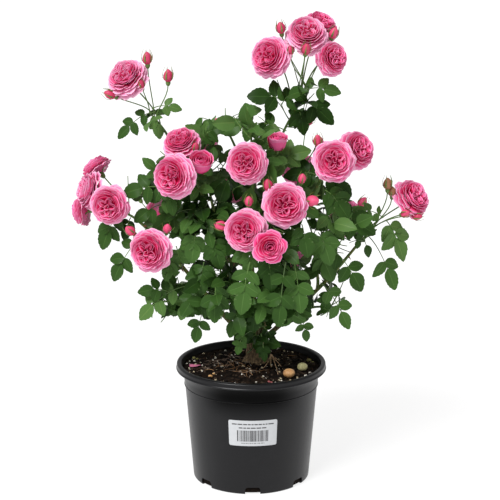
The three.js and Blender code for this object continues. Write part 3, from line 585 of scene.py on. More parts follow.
def in_scene(name, data):
    made = bpy.data.objects.new(name, data)
    bpy.context.collection.objects.link(made)
    return made


def place(made, slot, *nodes):
    """Attaches a piece to the root body and hides the CAD nodes that it stands for. slot is not used."""
    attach(made, "root")
    if nodes:
        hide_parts(*nodes)


class Heap:
    """Many small closed forms of one kind, which end up joined into pieces of limited size."""

    def __init__(self):
        self.forms = []

    def add(self, points, faces, tones=0, node=None):
        """Adds forms that share their faces. points is (point, xyz) or (form, point, xyz)."""
        points = points if points.ndim == 3 else points[None]
        copies, size = points.shape[:2]
        shifted = faces[None] + size * np.arange(copies)[:, None, None]
        tones = np.broadcast_to(tones, (copies, len(faces)))
        self.forms.append((points.reshape(-1, 3), shifted.reshape(-1, 4), tones.ravel(), node))

    def tube(self, curve, radius, sides, steps, tone=0, node=None):
        self.add(tube_points(curve, radius, sides, steps), tube_faces(steps + 1, sides), tone, node)

    def build(self, name, slot, materials, crease=50):
        """Joins the forms into pieces that stand for the CAD nodes they belong to."""
        batches, room = [[]], PIECE_TRIANGLES
        for form in self.forms:
            if 2 * len(form[1]) > room:
                batches.append([])
                room = PIECE_TRIANGLES
            batches[-1].append(form)
            room -= 2 * len(form[1])
        for number, batch in enumerate(batches, 1):
            starts = np.cumsum([0] + [len(form[0]) for form in batch[:-1]])
            points = np.concatenate([form[0] for form in batch])
            faces = np.concatenate([form[1] + start for form, start in zip(batch, starts)])
            tones = np.concatenate([form[2] for form in batch])
            nodes = sorted({form[3] for form in batch} - {None})
            full_name = name if len(batches) == 1 else f"{name}_{number}"
            place(mesh_object(full_name, points, faces, materials, tones, crease), slot, *nodes)


# Finishes
class Value:
    """A node socket that takes part in arithmetic. Each operation adds its Math node."""

    def __init__(self, finish, socket):
        self.finish = finish
        self.socket = socket

    def math(self, operation, *others):
        sockets = dict(enumerate([self, *others]))
        return self.finish.node("ShaderNodeMath", {"operation": operation}, sockets)

    def __add__(self, other):
        return self.math("ADD", other)

    __radd__ = __add__

    def __mul__(self, other):
        return self.math("MULTIPLY", other)

    __rmul__ = __mul__

    def __sub__(self, other):
        return self.math("SUBTRACT", other)

    def __rsub__(self, other):
        return (self * -1) + other

    def ramp(self, low, high):
        """This value's share of the way from low to high, kept between 0 and 1."""
        settings = {"clamp": True, "interpolation_type": "SMOOTHSTEP"}
        sockets = {"Value": self, "From Min": low, "From Max": high}
        return self.finish.node("ShaderNodeMapRange", settings, sockets)


class Finish:
    """A material in the making: its node tree, and the shader that its sockets feed."""

    def __init__(self, name, **constants):
        self.material = bpy.data.materials.new(name)
        self.material.use_nodes = True
        self.tree = self.material.node_tree
        self.shader = self.tree.nodes["Principled BSDF"]
        self.feed(**constants)

    def put(self, socket, value):
        if isinstance(value, Value):
            self.tree.links.new(value.socket, socket)
        else:
            socket.default_value = value

    def feed(self, **sockets):
        for socket, value in sockets.items():
            self.put(self.shader.inputs[socket.replace("_", " ")], value)

    def node(self, kind, settings=None, sockets=None, out=0):
        """Adds a node: first its settings, then its sockets' values or links."""
        made = self.tree.nodes.new(kind)
        for name, value in (settings or {}).items():
            setattr(made, name, value)
        for name, value in (sockets or {}).items():
            self.put(made.inputs[name], value)
        return Value(self, made.outputs[out])

    def place_in_space(self):
        """Where a point is, in metres, in the frame that all the pieces share."""
        return self.node("ShaderNodeTexCoord", out="Object")

    def along(self, axis):
        return self.node("ShaderNodeSeparateXYZ", None, {0: self.place_in_space()}, out=axis)

    def speckle(self, scale, detail=3, roughness=0.6, upright=1):
        """Noise from 0 to 1, with so many waves a metre, and fewer of them upright if that is below 1."""
        at = self.place_in_space()
        if upright != 1:
            at = self.node("ShaderNodeVectorMath", {"operation": "MULTIPLY"}, {0: at, 1: (1, 1, upright)})
        sockets = {"Vector": at, "Scale": scale, "Detail": detail, "Roughness": roughness}
        return self.node("ShaderNodeTexNoise", None, sockets)

    def mix(self, share, first, second):
        """One colour over another. The Mix node's colour sockets are 6 and 7, and its colour output 2."""
        first, second = (c if isinstance(c, Value) else linear(c) for c in (first, second))
        return self.node("ShaderNodeMix", {"data_type": "RGBA"}, {0: share, 6: first, 7: second}, out=2)

    def relief(self, height, distance):
        """Feeds a height to the shader's normal: distance is how many millimetres a height of 1 is."""
        self.feed(Normal=self.node("ShaderNodeBump", None, {"Height": height, "Distance": distance * MM}))


def linear(colour):
    """A screen colour of 0 to 255 as the values that Blender reckons with."""
    shares = vec(colour) / 255
    return (*np.where(shares <= 0.04045, shares / 12.92, ((shares + 0.055) / 1.055) ** 2.4), 1.0)


def plain(name, colour, **constants):
    """A plain colour for one tone of foliage, petals or twigs, which are dealt out by spray."""
    return Finish(name, Base_Color=linear(colour), **constants).material


def tone_set(name, colours, **constants):
    """Plain colours, light to dark."""
    return [plain(f"{name}_{i}", colour, **constants) for i, colour in enumerate(colours, 1)]


def pot_finish():
    """Charcoal moulded plastic, satin, with faint scuffs, dust, and a painted shadow under the rim."""
    finish = Finish("pot_plastic", Specular_IOR_Level=0.3)
    across, height = finish.along("X"), finish.along("Z")
    # Painted shade: a dark band under the rim where the rim's shadow falls, darkest at the front and back
    # middle as a painted dark reflection, with Metallic raised there so that it darkens further
    painted_rim_shadow = height.ramp(0.125, 0.172) * (1 - height.ramp(0.1885, 0.1895))
    shade = painted_rim_shadow * (1 - (across * across).ramp(0.0012, 0.0080))
    scuff = finish.speckle(420, 4, 0.7, upright=0.25).ramp(0.5, 0.75)
    dust = finish.speckle(26, 5, 0.65).ramp(0.5, 0.85)
    body = finish.mix(dust * 0.5, (9, 9, 12), (26, 26, 29))
    rough = 0.34 + dust * 0.12 + scuff * 0.08
    finish.feed(Base_Color=finish.mix(shade, body, (0, 0, 0)), Metallic=shade * 0.8, Roughness=rough)
    finish.relief(finish.speckle(1500, 2) + scuff * 0.4, 0.04)
    return finish.material


def paper_finish():
    """Coated label paper."""
    finish = Finish("label_paper", Specular_IOR_Level=0.3)
    mottle = finish.speckle(180, 4)
    paper = finish.mix(mottle, (186, 188, 191), (198, 200, 202))
    finish.feed(Base_Color=paper, Roughness=0.38 + mottle * 0.12)
    finish.relief(finish.speckle(900, 3), 0.03)
    return finish.material


def ink_finish():
    """Dull black ink."""
    finish = Finish("label_ink")
    patchy = finish.speckle(1300, 2)
    finish.feed(Base_Color=finish.mix(patchy, (38, 38, 40), (84, 84, 86)), Roughness=0.6 + patchy * 0.1)
    return finish.material


def soil_finish():
    """Peaty potting soil, from near black where it is damp to brown where it is dry."""
    finish = Finish("potting_soil", Specular_IOR_Level=0.08)
    coarse = finish.speckle(90, 6, 0.7)
    fine = finish.speckle(620, 5, 0.75)
    ground = finish.mix(coarse.ramp(0.35, 0.7), (12, 9, 7), (36, 26, 19))
    dry = finish.mix(fine.ramp(0.55, 0.75), ground, (66, 50, 38))
    finish.feed(Base_Color=dry, Roughness=0.86 + fine * 0.12)
    finish.relief(coarse * 0.8 + fine * 0.6, 1.6)
    return finish.material


def grain_finish(name, light, dark, scale, rough):
    """Crumbly bits: one colour weathered towards another."""
    finish = Finish(name, Specular_IOR_Level=0.12)
    mottle = finish.speckle(scale, 4, 0.7)
    finish.feed(Base_Color=finish.mix(mottle.ramp(0.35, 0.7), light, dark), Roughness=rough + mottle * 0.1)
    finish.relief(finish.speckle(scale * 2.5, 3), 0.25)
    return finish.material


def pebble_finish(name, light, dark, patch, patch_share):
    """A river pebble: mottled, with darker patches."""
    finish = Finish(name, Specular_IOR_Level=0.45)
    mottle = finish.speckle(130, 5, 0.65).ramp(0.3, 0.7)
    stain = finish.speckle(55, 2).ramp(0.6 - patch_share, 0.75 - patch_share)
    body = finish.mix(mottle, light, dark)
    finish.feed(Base_Color=finish.mix(stain * 0.85, body, patch), Roughness=0.42 + mottle * 0.16)
    finish.relief(finish.speckle(700, 3), 0.12)
    return finish.material


def bark_finish():
    """Bark: grey-brown and furrowed at the foot, turning green and smooth up the canes."""
    finish = Finish("rose_bark", Specular_IOR_Level=0.35)
    furrows = finish.speckle(330, 5, 0.7, upright=0.18)
    patches = finish.speckle(70, 4)
    old = 1 - (finish.along("Z") + patches * 0.09).ramp(0.25, 0.38)
    wood = finish.mix(furrows.ramp(0.4, 0.65), (74, 60, 42), (134, 112, 82))
    green = finish.mix(patches.ramp(0.4, 0.65), (78, 108, 46), (112, 118, 58))
    finish.feed(Base_Color=finish.mix(old, green, wood), Roughness=0.5 + old * 0.3)
    finish.relief(furrows * (0.25 + old), 0.9)
    return finish.material


# Pot
def body_radius(z):
    """The pot's outer radius at a height on its body, below the step."""
    return POT["foot_radius"] + (POT["body_radius"] - POT["foot_radius"]) * z / POT["step_foot"]


def arc(centre, radius, start, end, steps=6):
    """Points of an arc in the pot's profile, from one angle in degrees to another."""
    angles = np.radians(np.linspace(start, end, steps))
    return [(centre[0] + radius * math.cos(a), centre[1] + radius * math.sin(a)) for a in angles]


def pot_profile():
    """The pot's section, up the outside and down the inside."""
    foot, wall, lip = body_radius(3), POT["wall"], POT["lip_foot"]
    flare = [(POT["flare_radius"] + (POT["neck_radius"] - POT["flare_radius"]) * t**1.5,
              POT["flare_foot"] + (lip - 1 - POT["flare_foot"]) * t) for t in np.linspace(0, 1, 7)]
    return [
        (0, 0),
        *arc((foot - 3, 3), 3, -90, 0),
        (POT["body_radius"] - 0.1, POT["step_foot"] - 1.5),
        *arc((POT["body_radius"] + 0.6, POT["step_foot"]), 0.9, -70, 80, 7),
        *flare,
        *arc((POT["neck_radius"] + 1, lip - 0.8), 0.8, 180, 90, 4),
        *arc((POT["rim_radius"] - 1.6, lip + 1.6), 1.6, -85, 60, 8),
        (POT["rim_radius"] - 1.2, lip + 4.2),
        *arc((POT["rim_radius"] - 4, POT["height"] - 3), 3, 0, 95, 8),
        *arc((POT["mouth_radius"] + 2.4, POT["height"] - 2.4), 2.4, 92, 180, 6),
        (POT["neck_radius"] - wall, lip + 1),
        (POT["flare_radius"] - wall, POT["flare_foot"] + 1),
        (POT["body_radius"] - wall, POT["step_foot"]),
        (POT["foot_radius"] - wall, POT["floor"]),
        (0, POT["floor"]),
    ]


def turned_form(profile, sides):
    """Points and faces of a closed form turned from a section whose ends are on the axis."""
    rings, angle = vec(profile[1:-1]), circle(sides)
    x, y = rings[:, :1] * np.sin(angle), -rings[:, :1] * np.cos(angle)
    points = np.stack([x, y, np.broadcast_to(rings[:, 1:], x.shape)], -1).reshape(-1, 3)
    ends = [(0, 0, profile[0][1]), (0, 0, profile[-1][1])]
    return np.concatenate([points, ends]), tube_faces(len(rings), sides)


def notch_cutter(turn):
    """A block with rounded upper corners that cuts one drain notch."""
    wide, high, corner = NOTCH["width"] / 2, NOTCH["height"], NOTCH["round"]
    outline = [(wide, -5), *arc((wide - corner, high - corner), corner, 0, 90, 5),
               *arc((corner - wide, high - corner), corner, 90, 180, 5), (-wide, -5)]
    made = bmesh.new()
    inner, outer = ([made.verts.new(Vector((x, -y, z)) * MM) for x, z in outline]
                    for y in (NOTCH["inner"], NOTCH["inner"] + NOTCH["depth"]))
    for i in range(len(outline)):
        k = (i + 1) % len(outline)
        made.faces.new([inner[i], inner[k], outer[k], outer[i]])
    made.faces.new(outer)
    made.faces.new(inner[::-1])
    bmesh.ops.recalc_face_normals(made, faces=made.faces)
    mesh = bpy.data.meshes.new("notch_cutter")
    made.to_mesh(mesh)
    made.free()
    cutter = in_scene("notch_cutter", mesh)
    cutter.rotation_euler.z = turn
    return cutter


def dressed_pot():
    """The pot, with its drain notches cut through the wall."""
    points, faces = turned_form(pot_profile(), POT["sides"])
    pot = mesh_object("pot_shell", points, faces, [pot_finish()], crease=POT["crease"])
    for i in range(NOTCH["count"]):
        cutter = notch_cutter(math.radians(NOTCH["turn"]) + 2 * math.pi * i / NOTCH["count"])
        cut = pot.modifiers.new("notch", "BOOLEAN")
        cut.object = cutter
        cut.operation = "DIFFERENCE"
        with bpy.context.temp_override(object=pot, active_object=pot):
            bpy.ops.object.modifier_apply(modifier=cut.name)
        bpy.data.objects.remove(cutter)
    pot.data.set_sharp_from_angle(angle=math.radians(POT["crease"]))
    place(pot, "pot", "pot")


# Label
def on_wall(across, z, out):
    """Points on the pot's front wall: across is measured round it from the label's middle."""
    radius = body_radius(z) + out
    angle = math.radians(LABEL["turn"]) + across / body_radius((LABEL["low"] + LABEL["high"]) / 2)
    return np.stack([radius * np.sin(angle), -radius * np.cos(angle), z + 0 * radius], -1)


def label_sheet():
    """The label's rounded sheet."""
    half, middle = (LABEL["high"] - LABEL["low"]) / 2, (LABEL["high"] + LABEL["low"]) / 2
    corner = LABEL["corner"]
    bend = corner * (1 - np.cos(np.linspace(0, math.pi / 2, 6)))
    up = np.concatenate([-half + bend, half - bend[::-1]])
    past = np.maximum(np.abs(up) - (half - corner), 0)
    wide = LABEL["width"] / 2 - corner + np.sqrt(corner**2 - past**2)
    across = np.linspace(-1, 1, 25)[None] * wide[:, None]
    sheet = on_wall(across, (middle + up)[:, None] + 0 * across, LABEL["gap"] + LABEL["thick"] / 2)
    shell = Shell(*sheet.shape[:2])
    points = shell.points(sheet[None], LABEL["thick"])[0]
    place(mesh_object("label_sheet", points, shell.faces, [paper_finish()]), "label", "label")


def print_bar(heap, left, right, low, high):
    """One plain bar of ink, bent with the wall."""
    columns = 2 + int((right - left) / 4)
    across, z = np.meshgrid(np.linspace(left, right, columns), [low, high])
    inner = on_wall(across, z, LABEL["gap"] + LABEL["thick"] - INK["sunk"])
    outer = on_wall(across, z, LABEL["gap"] + LABEL["thick"] + INK["proud"])
    rings = np.stack([outer[0], outer[1], inner[1], inner[0]], 1)
    points = np.concatenate([rings.reshape(-1, 3), rings[0].mean(0)[None], rings[-1].mean(0)[None]])
    heap.add(points, tube_faces(columns, 4))


def label_print():
    """Rows of plain bars, with a block of plain stripes between them."""
    rng = np.random.default_rng(5)
    heap = Heap()
    for line in BAR_LINES:
        left = -line["reach"]
        while left < line["reach"] - line["bar"][0]:
            right = min(left + rng.uniform(*line["bar"]), line["reach"])
            print_bar(heap, left, right, line["z"] - line["high"] / 2, line["z"] + line["high"] / 2)
            left = right + line["space"]
    left = -STRIPES["reach"]
    while left < STRIPES["reach"]:
        right = left + rng.uniform(*STRIPES["bar"])
        print_bar(heap, left, right, STRIPES["low"], STRIPES["high"])
        left = right + STRIPES["space"] * rng.uniform(0.5, 1.6)
    heap.build("label_print", "label", [ink_finish()])


# Soil
def soil_height(x, y):
    """The soil's top at a place: a low mound with lumps."""
    out = math.hypot(x, y)
    edge = POT["neck_radius"] - POT["wall"] - SOIL["gap"]
    fall = (SOIL["top"] - SOIL["edge"]) * max(0, out - SOIL["flat_radius"]) / (edge - SOIL["flat_radius"])
    lumps = noise.noise(Vector((x, y, 0)) / 17) + 0.6 * noise.noise(Vector((x, y, 9)) / 6)
    return SOIL["top"] - fall - 0.6 * SOIL["lump"] + SOIL["lump"] * lumps


def soil_bed():
    """The filled soil, which also shows in the drain notches."""
    wall, bottom = POT["wall"] + SOIL["gap"], POT["floor"] + 0.3
    reach = POT["neck_radius"] - wall - 0.4
    rings = [
        (POT["foot_radius"] - wall, bottom),
        (POT["foot_radius"] - wall + 1.0, 16),
        (POT["body_radius"] - wall, POT["step_foot"] + 1),
        (POT["flare_radius"] - wall, POT["flare_foot"] + 2),
        *[(r, None) for r in reach * np.linspace(1, 0.02, SOIL["rings"])],
    ]
    points = []
    for r, z in rings:
        for a in circle(SOIL["sides"]):
            x, y = r * math.sin(a), -r * math.cos(a)
            points.append((x, y, soil_height(x, y) if z is None else z))
    points += [(0, 0, bottom), (0, 0, soil_height(0, 0))]
    faces = tube_faces(len(rings), SOIL["sides"])
    place(mesh_object("soil_bed", vec(points), faces, [soil_finish()], crease=60), "soil", "soil")


def ball(subdivisions):
    """Points and faces of a unit ball of triangles."""
    made = bmesh.new()
    bmesh.ops.create_icosphere(made, subdivisions=subdivisions, radius=1)
    points = vec([v.co[:] for v in made.verts])
    faces = np.array([[v.index for v in f.verts] for f in made.faces])
    made.free()
    return points, np.column_stack([faces, faces[:, 2]])


def rough_ball(rng, shape, uneven):
    """Points of a ball squeezed to a shape, each pushed in or out a little."""
    points, _ = ball(2)
    return points * (1 + rng.uniform(-uneven, uneven, (len(points), 1))) * shape


def scatter(bits, rng):
    """A heap of rough bits that lie on the soil, each turned and tilted its own way."""
    heap, faces = Heap(), ball(2)[1]
    reach = POT["neck_radius"] - POT["wall"] - 5
    while len(heap.forms) < bits["count"]:
        x, y = rng.uniform(-reach, reach, 2)
        if math.hypot(x, y) > reach:
            continue
        size = rng.uniform(*bits["size"])
        shape = size * (rng.uniform(1 - bits["spread"], 1 + bits["spread"], 3) * [1, 1, bits["flat"]])
        points = rough_ball(rng, shape, 0.28)
        spin = rng.uniform(0, 2 * math.pi)
        tilt = turned(UP, unit(vec([math.cos(spin), math.sin(spin), 0])), rng.uniform(-0.5, 0.5))
        side = square_to(vec([math.cos(spin), math.sin(spin), 0.1]), tilt)
        points = points @ np.stack([side, np.cross(tilt, side), tilt])
        heap.add(points + [x, y, soil_height(x, y) + 0.35 * shape[2]], faces, rng.integers(bits["tones"]))
    return heap


def soil_bits():
    """White grains, bark crumbs and coloured chips on the soil."""
    rng = np.random.default_rng(11)
    grains, crumbs = scatter(GRAINS, rng), scatter(CRUMBS, rng)
    for x, y, radius, colour in CHIPS:
        chip = rough_ball(rng, [radius, 0.8 * radius, 0.6 * radius], 0.15)
        grains.add(chip + [x, y, soil_height(x, y) + 0.3 * radius], ball(2)[1], GRAINS["tones"] + colour)
    grains.build("soil_grains", "grain", [
        grain_finish("grain_white", (236, 232, 222), (204, 196, 180), 500, 0.8),
        grain_finish("grain_cream", (216, 202, 172), (170, 150, 118), 500, 0.8),
        grain_finish("chip_tan", (206, 164, 112), (164, 120, 74), 300, 0.7),
        grain_finish("chip_olive", (156, 152, 98), (112, 110, 66), 300, 0.7),
        grain_finish("chip_red", (178, 104, 104), (124, 66, 66), 300, 0.7),
    ])
    crumbs.build("soil_crumbs", "soil", [
        grain_finish("crumb_dark", (24, 18, 14), (12, 9, 8), 260, 0.85),
        grain_finish("crumb_brown", (52, 37, 26), (28, 20, 15), 260, 0.85),
        grain_finish("crumb_grey", (66, 54, 44), (36, 29, 24), 260, 0.85),
    ], crease=30)


def straw_line(start, end, rng, arch):
    """A dry stalk's line over the soil from one place to another."""
    marks = []
    for share in (0, 0.35, 0.7, 1):
        x, y = start + (end - start) * share + rng.normal(0, 1.6, 2)
        marks.append((x, y, soil_height(x, y) + 1.2 + arch * math.sin(math.pi * (0.15 + 0.85 * share))))
    return Curve(*marks)


def soil_straw():
    """Dead roots that fan out from one place, and loose straws in heaps."""
    rng = np.random.default_rng(12)
    straw = Heap()

    def lay(curve, thick, tone):
        straw.tube(curve, taper(thick, 0.4 * thick), 5, 8, tone)

    for end in ROOT_FAN["ends"]:
        lay(straw_line(vec(ROOT_FAN["start"]), vec(end), rng, ROOT_FAN["arch"]), ROOT_FAN["radius"], 0)
    for i in range(STRAW["count"]):
        start = vec(STRAW_HEAPS[i % len(STRAW_HEAPS)]) + rng.normal(0, 12, 2)
        heading = rng.uniform(0, 2 * math.pi)
        end = start + vec([math.cos(heading), math.sin(heading)]) * rng.uniform(*STRAW["length"])
        if max(np.linalg.norm(start), np.linalg.norm(end)) < POT["mouth_radius"] - 9:
            thick = STRAW["radius"] * rng.uniform(0.6, 1.4)
            lay(straw_line(start, end, rng, rng.uniform(0.5, 4)), thick, 1 + rng.integers(2))
    straw.build("soil_straw", "soil", [
        grain_finish("straw_pale", (226, 194, 158), (182, 140, 108), 400, 0.7),
        grain_finish("straw_brown", (152, 116, 82), (98, 70, 48), 400, 0.7),
        grain_finish("straw_grey", (150, 132, 118), (94, 78, 70), 400, 0.7),
    ])


def fallen_petal():
    """One dropped petal that lies cupped on the soil."""
    v = np.linspace(0, 1, PETAL_ROWS)[:, None]
    u = np.linspace(-1, 1, PETAL_COLUMNS)[None]
    x = FALLEN_PETAL["length"] * (v - 0.5) + 0 * u
    y = FALLEN_PETAL["width"] / 2 * u * np.sin(math.pi * (0.1 + 0.78 * v)) ** 0.6
    z = 1.8 * u**2 + 1.2 * np.sin(3 * v + 2 * u)
    turn = math.radians(FALLEN_PETAL["turn"])
    cos, sin = math.cos(turn), math.sin(turn)
    at_x, at_y = FALLEN_PETAL["place"]
    at_z = soil_height(at_x, at_y) + FALLEN_PETAL["lies"]
    sheet = np.stack([at_x + x * cos - y * sin, at_y + x * sin + y * cos, at_z + z], -1)
    points = PETAL_SHELL.points(sheet[None], FALLEN_PETAL["thick"])[0]
    finish = grain_finish("petal_fallen", (210, 124, 156), (190, 100, 134), 120, 0.6)
    place(mesh_object("soil_petal", points, PETAL_SHELL.faces, [finish]), "petal")


def pebble(node, light, dark, patch, patch_share):
    """A smooth pebble, a little uneven, where its CAD node lies."""
    low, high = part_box(node)
    middle, half = (low + high) / 2 / MM, (high - low) / 2 / MM
    points, faces = ball(5)
    for i, p in enumerate(points):
        dent = noise.noise(Vector(p) * 1.3 + Vector((middle.x, 0, 0)))
        points[i] = p * (0.97 + 0.05 * dent)
    points = points * vec(half) + vec(middle)
    finish = pebble_finish(node, light, dark, patch, patch_share)
    place(mesh_object(f"{node}_stone", points, faces, [finish], crease=80), node, node)


# Canes
def stool_point(at, turn):
    """The place inside the stool that a cane starts from."""
    foot, top = vec(STOOL["foot"]), vec(STOOL["top"])
    return foot + (top - foot) * at + facing(turn, 0) * STOOL["canes_out"] * at


def limb_curve(start, leave, end, arrive):
    """A limb's line: it leaves its start one way, and arrives at its end another way."""
    third = np.linalg.norm(end - start) / 3
    return Curve(start, start + leave * third, end - arrive * third, end)


def cane_curves():
    """The line of every cane, as the source works it out."""
    curves = {}

    def line(name):
        if name in curves:
            return curves[name]
        cane = SPRAYS[name]["cane"]
        tip = vec(cane["tip"])
        if cane["from"] == "stool":
            start = stool_point(cane["at"], cane["lean"][0])
            leave = facing(*cane["lean"])
        else:
            parent = line(cane["from"])
            start = parent.at(cane["at"])
            leave = unit(unit(tip - start) + CANE["parent_way"] * parent.way(cane["at"]))
        towards = unit(vec(SPRAYS[name]["centre"]) - tip)
        arrive = unit(towards * (1 - CANE["rise"]) + UP * CANE["rise"])
        curves[name] = limb_curve(start, leave, tip, arrive)
        return curves[name]

    for name, spray in SPRAYS.items():
        if "tip" in spray["cane"]:
            line(name)
    return curves


def cane_radius(name):
    """A cane's radius along its length: its taper, its swellings at the joints and its bark."""
    thick, thin = SPRAYS[name]["cane"]["radii"]
    seed = sum(map(ord, name))

    @np.vectorize
    def bark(t, angle):
        return noise.noise(Vector((math.cos(angle), math.sin(angle), t * 14 + seed)) * 1.7)

    def radius(t, angle):
        swelling = 1 + 0.05 * np.sin(19 * t) + 0.05 * np.maximum(0, np.sin(38 * t)) ** 6
        return (thick + (thin - thick) * t) * swelling * (1 + CANE["relief"] * bark(t, angle))

    return radius


def prickle(heap, base, out, size, node):
    """A hooked prickle that leans down."""
    tip = base + out * size - UP * size * 0.45
    curve = Curve(base - out, base + out * size * 0.5, tip)
    heap.tube(curve, lambda t, angle: size * 0.3 * (1 - t) ** 0.8 + 0.03 + 0 * angle, 6, 4, node=node)


def prickles_on(heap, curve, radius, node, rng):
    """Prickles round a cane, a gap apart, up to near its tip."""
    gap = PRICKLE["gap"]
    for i in range(int(curve.length / gap)):
        t = (i + rng.uniform(0.2, 0.9)) * gap / curve.length
        if t > 0.97:
            continue
        way = curve.way(t)
        out = turned(square_to(vec([0.4, -1, 0.1]), way), way, rng.uniform(0, 2 * math.pi))
        size = PRICKLE["length"] * rng.uniform(0.7, 1.2)
        prickle(heap, curve.at(t) + out * radius * 0.9, out, size, node)


def dressed_canes(curves):
    """The canes as one piece with bark, and their prickles."""
    rng = np.random.default_rng(21)
    canes, prickles = Heap(), Heap()
    for name, curve in curves.items():
        node = f"{name}_cane"
        steps = max(CANE["least_steps"], int(curve.length / CANE["step"]))
        canes.tube(curve, cane_radius(name), CANE["sides"], steps, node=node)
        prickles_on(prickles, curve, sum(SPRAYS[name]["cane"]["radii"]) / 2, node, rng)
    canes.build("canes_bark", "cane", [bark_finish()])
    prickles.build("prickles", "cane", [plain("prickle_horn", (142, 74, 50), Roughness=0.4)])


def dressed_stool():
    """The stool: lobed where it spreads on the soil, waisted, and knobbed where the canes leave."""
    foot, top = vec(STOOL["foot"]) - UP * STOOL["sunk"], vec(STOOL["top"])
    rings = []
    for t in np.linspace(0, 1, STOOL["rows"]):
        centre = foot + (top - foot) * t
        lobes = STOOL["lobe"] * (1 - t) ** 3
        for turn in circle(STOOL["sides"]):
            out = np.interp(t, *zip(*STOOL_SECTION)) * (1 + lobes * math.cos(STOOL["lobes"] * turn))
            way = facing(math.degrees(turn), 0)
            spot = Vector(centre + way * out)
            furrow = Vector((spot.x, spot.y, spot.z / 3)) / 3
            knobs = 1.6 * noise.noise(spot / 9) + 0.8 * noise.noise(furrow)
            rings.append(centre + way * (out + knobs))
    points = np.concatenate([rings, [foot], [top]])
    faces = tube_faces(STOOL["rows"], STOOL["sides"])
    place(mesh_object("stool_bark", points, faces, [bark_finish()], crease=60), "bark", "stool")


# Sprays
class Space:
    """A spray's own room: nearer its middle than any other's, but for a little overlap, within the
    CAD's box, and clear of the soil and the pot's rim."""

    def __init__(self, name):
        self.middle = vec(SPRAYS[name]["centre"])
        self.reach = vec(SPRAYS[name]["reach"])
        others = vec([spray["centre"] for key, spray in SPRAYS.items() if key != name]) - self.middle
        self.half = np.linalg.norm(others, axis=1) / 2
        self.away = unit(others)

    def holds(self, points):
        """Whether all the points stand in the spray's room."""
        out = np.hypot(points[:, 0], points[:, 1])
        over_soil = out < POT["mouth_radius"] - ROOM["from_rim"]
        floor = np.where(over_soil, SOIL["top"] + ROOM["over_soil"], POT["height"] + ROOM["over_rim"])
        own = (points - self.middle) @ self.away.T < self.half + ROOM["overlap"]
        low, high = vec(CAD_BOX[0]) / MM + ROOM["in_box"], vec(CAD_BOX[1]) / MM - ROOM["in_box"]
        boxed = ((points > low) & (points < high)).all()
        return bool(boxed and own.all() and (points[:, 2] > floor).all())

    def along(self, start, way):
        """How far a line can run before it leaves the spray's reach or its room."""
        d = start - self.middle
        u, w = d / self.reach, way / self.reach
        a, b, c = w @ w, u @ w, u @ u - 1
        room = (-b + math.sqrt(b * b - a * c)) / a if c < 0 else 0
        closing = self.away @ way
        ahead = closing > 0.01
        limits = (self.half[ahead] - self.away[ahead] @ d) / closing[ahead]
        return min([room, *limits])


class Roses:
    """Every rose of the bush, to keep leaves out of them and from in front of them."""

    def __init__(self):
        rows = [rose for spray in SPRAYS.values() for rose in spray.get("roses", [])]
        self.places, self.sizes = vec([row[:3] for row in rows]), vec([row[5] for row in rows])
        self.ways = np.stack([facing(*row[3:5]) for row in rows])
        self.front = self.ways @ VIEW > 0

    def within(self, points):
        """Whether a point stands in a rose, or close before its face."""
        d = points[:, None] - self.places
        along = (d * self.ways).sum(-1)
        aside = np.sqrt(np.maximum(0, (d * d).sum(-1) - along**2))
        level = (along > -ROSE_ROOM["behind"] * self.sizes) & (along < ROSE_ROOM["before"] * self.sizes)
        return bool((level & (aside < ROSE_ROOM["aside"] * self.sizes)).any())

    def seen_behind(self, points):
        """Whether a point stands before a front rose, as the photograph sees it."""
        d = points[:, None] - self.places[self.front]
        along = d @ VIEW
        aside = np.linalg.norm(d - along[..., None] * VIEW, axis=-1)
        return bool(((along > 0) & (aside < ROSE_ROOM["seen_aside"] * self.sizes[self.front])).any())


def leaf_plan(space, stem, count, most, random):
    """Every compound leaf of a stem, in the order in which they get their room: its start, its tip,
    the way its blades face and its size. The leaves stand round the stem by the golden angle, and
    are as long as the space allows."""
    plan = []
    for i in range(count):
        t = (i + 0.7) / count
        start, along = stem.at(t), stem.way(t)
        turn = i * GOLDEN_ANGLE + 0.5 * random()
        around = turned(square_to(vec([0.3, -1, 0.2]), along), along, turn)
        low, high = LEAF["lean"]
        lean = low + (high - low) * t**2 + LEAF["uneven"] * (random() - 0.5)
        way = unit(around * math.cos(lean) + along * math.sin(lean) - UP * LEAF["sag"])
        length = min(space.along(start, way) - 2, most * (0.8 + 0.2 * random()))
        size = LEAF["small"] + LEAF["size_range"] * random()
        twist = LEAF["twist"] * (random() - 0.5)
        order = random()
        if length >= LEAF["least"]:
            face = turned(blade_way(start), way, twist)
            leaf = {"start": start, "tip": start + way * length, "face": face, "size": size}
            plan.append((order, leaf))
    return [leaf for _, leaf in sorted(plan, key=lambda row: row[0])]


def blade_way(spot):
    """The way that leaf blades face: out of the bush and up, and less to the sides than to the front
    and back."""
    level = vec([BLADES["side"] * spot[0], spot[1] - BLADES["turn_at"], 0]) + 1e-6
    return unit(unit(level) + UP * BLADES["up"])


def leaflet_marks(leaflet):
    """Places on a leaflet that say where it is: along its midrib, and near its edges."""
    base, along, face, size = leaflet
    tip = along * LEAFLET["length"] * size
    side = 0.42 * np.cross(face, along) * LEAFLET["width"] * size
    shares = [(0.15, 0), (0.5, 0), (1, 0), (0.3, 1), (0.3, -1), (0.6, 1), (0.6, -1)]
    return np.stack([base + tip * share + side * edge for share, edge in shares])


def rib_curve(start, tip, leaflet_length):
    """The rib of a compound leaf, which arches out of the stem and ends where its last leaflet starts."""
    end = start + (tip - start) * (1 - leaflet_length / np.linalg.norm(tip - start))
    middle = (start + end) / 2 + UP * RIB["arch"] * np.linalg.norm(end - start)
    return Curve(start, middle, end)


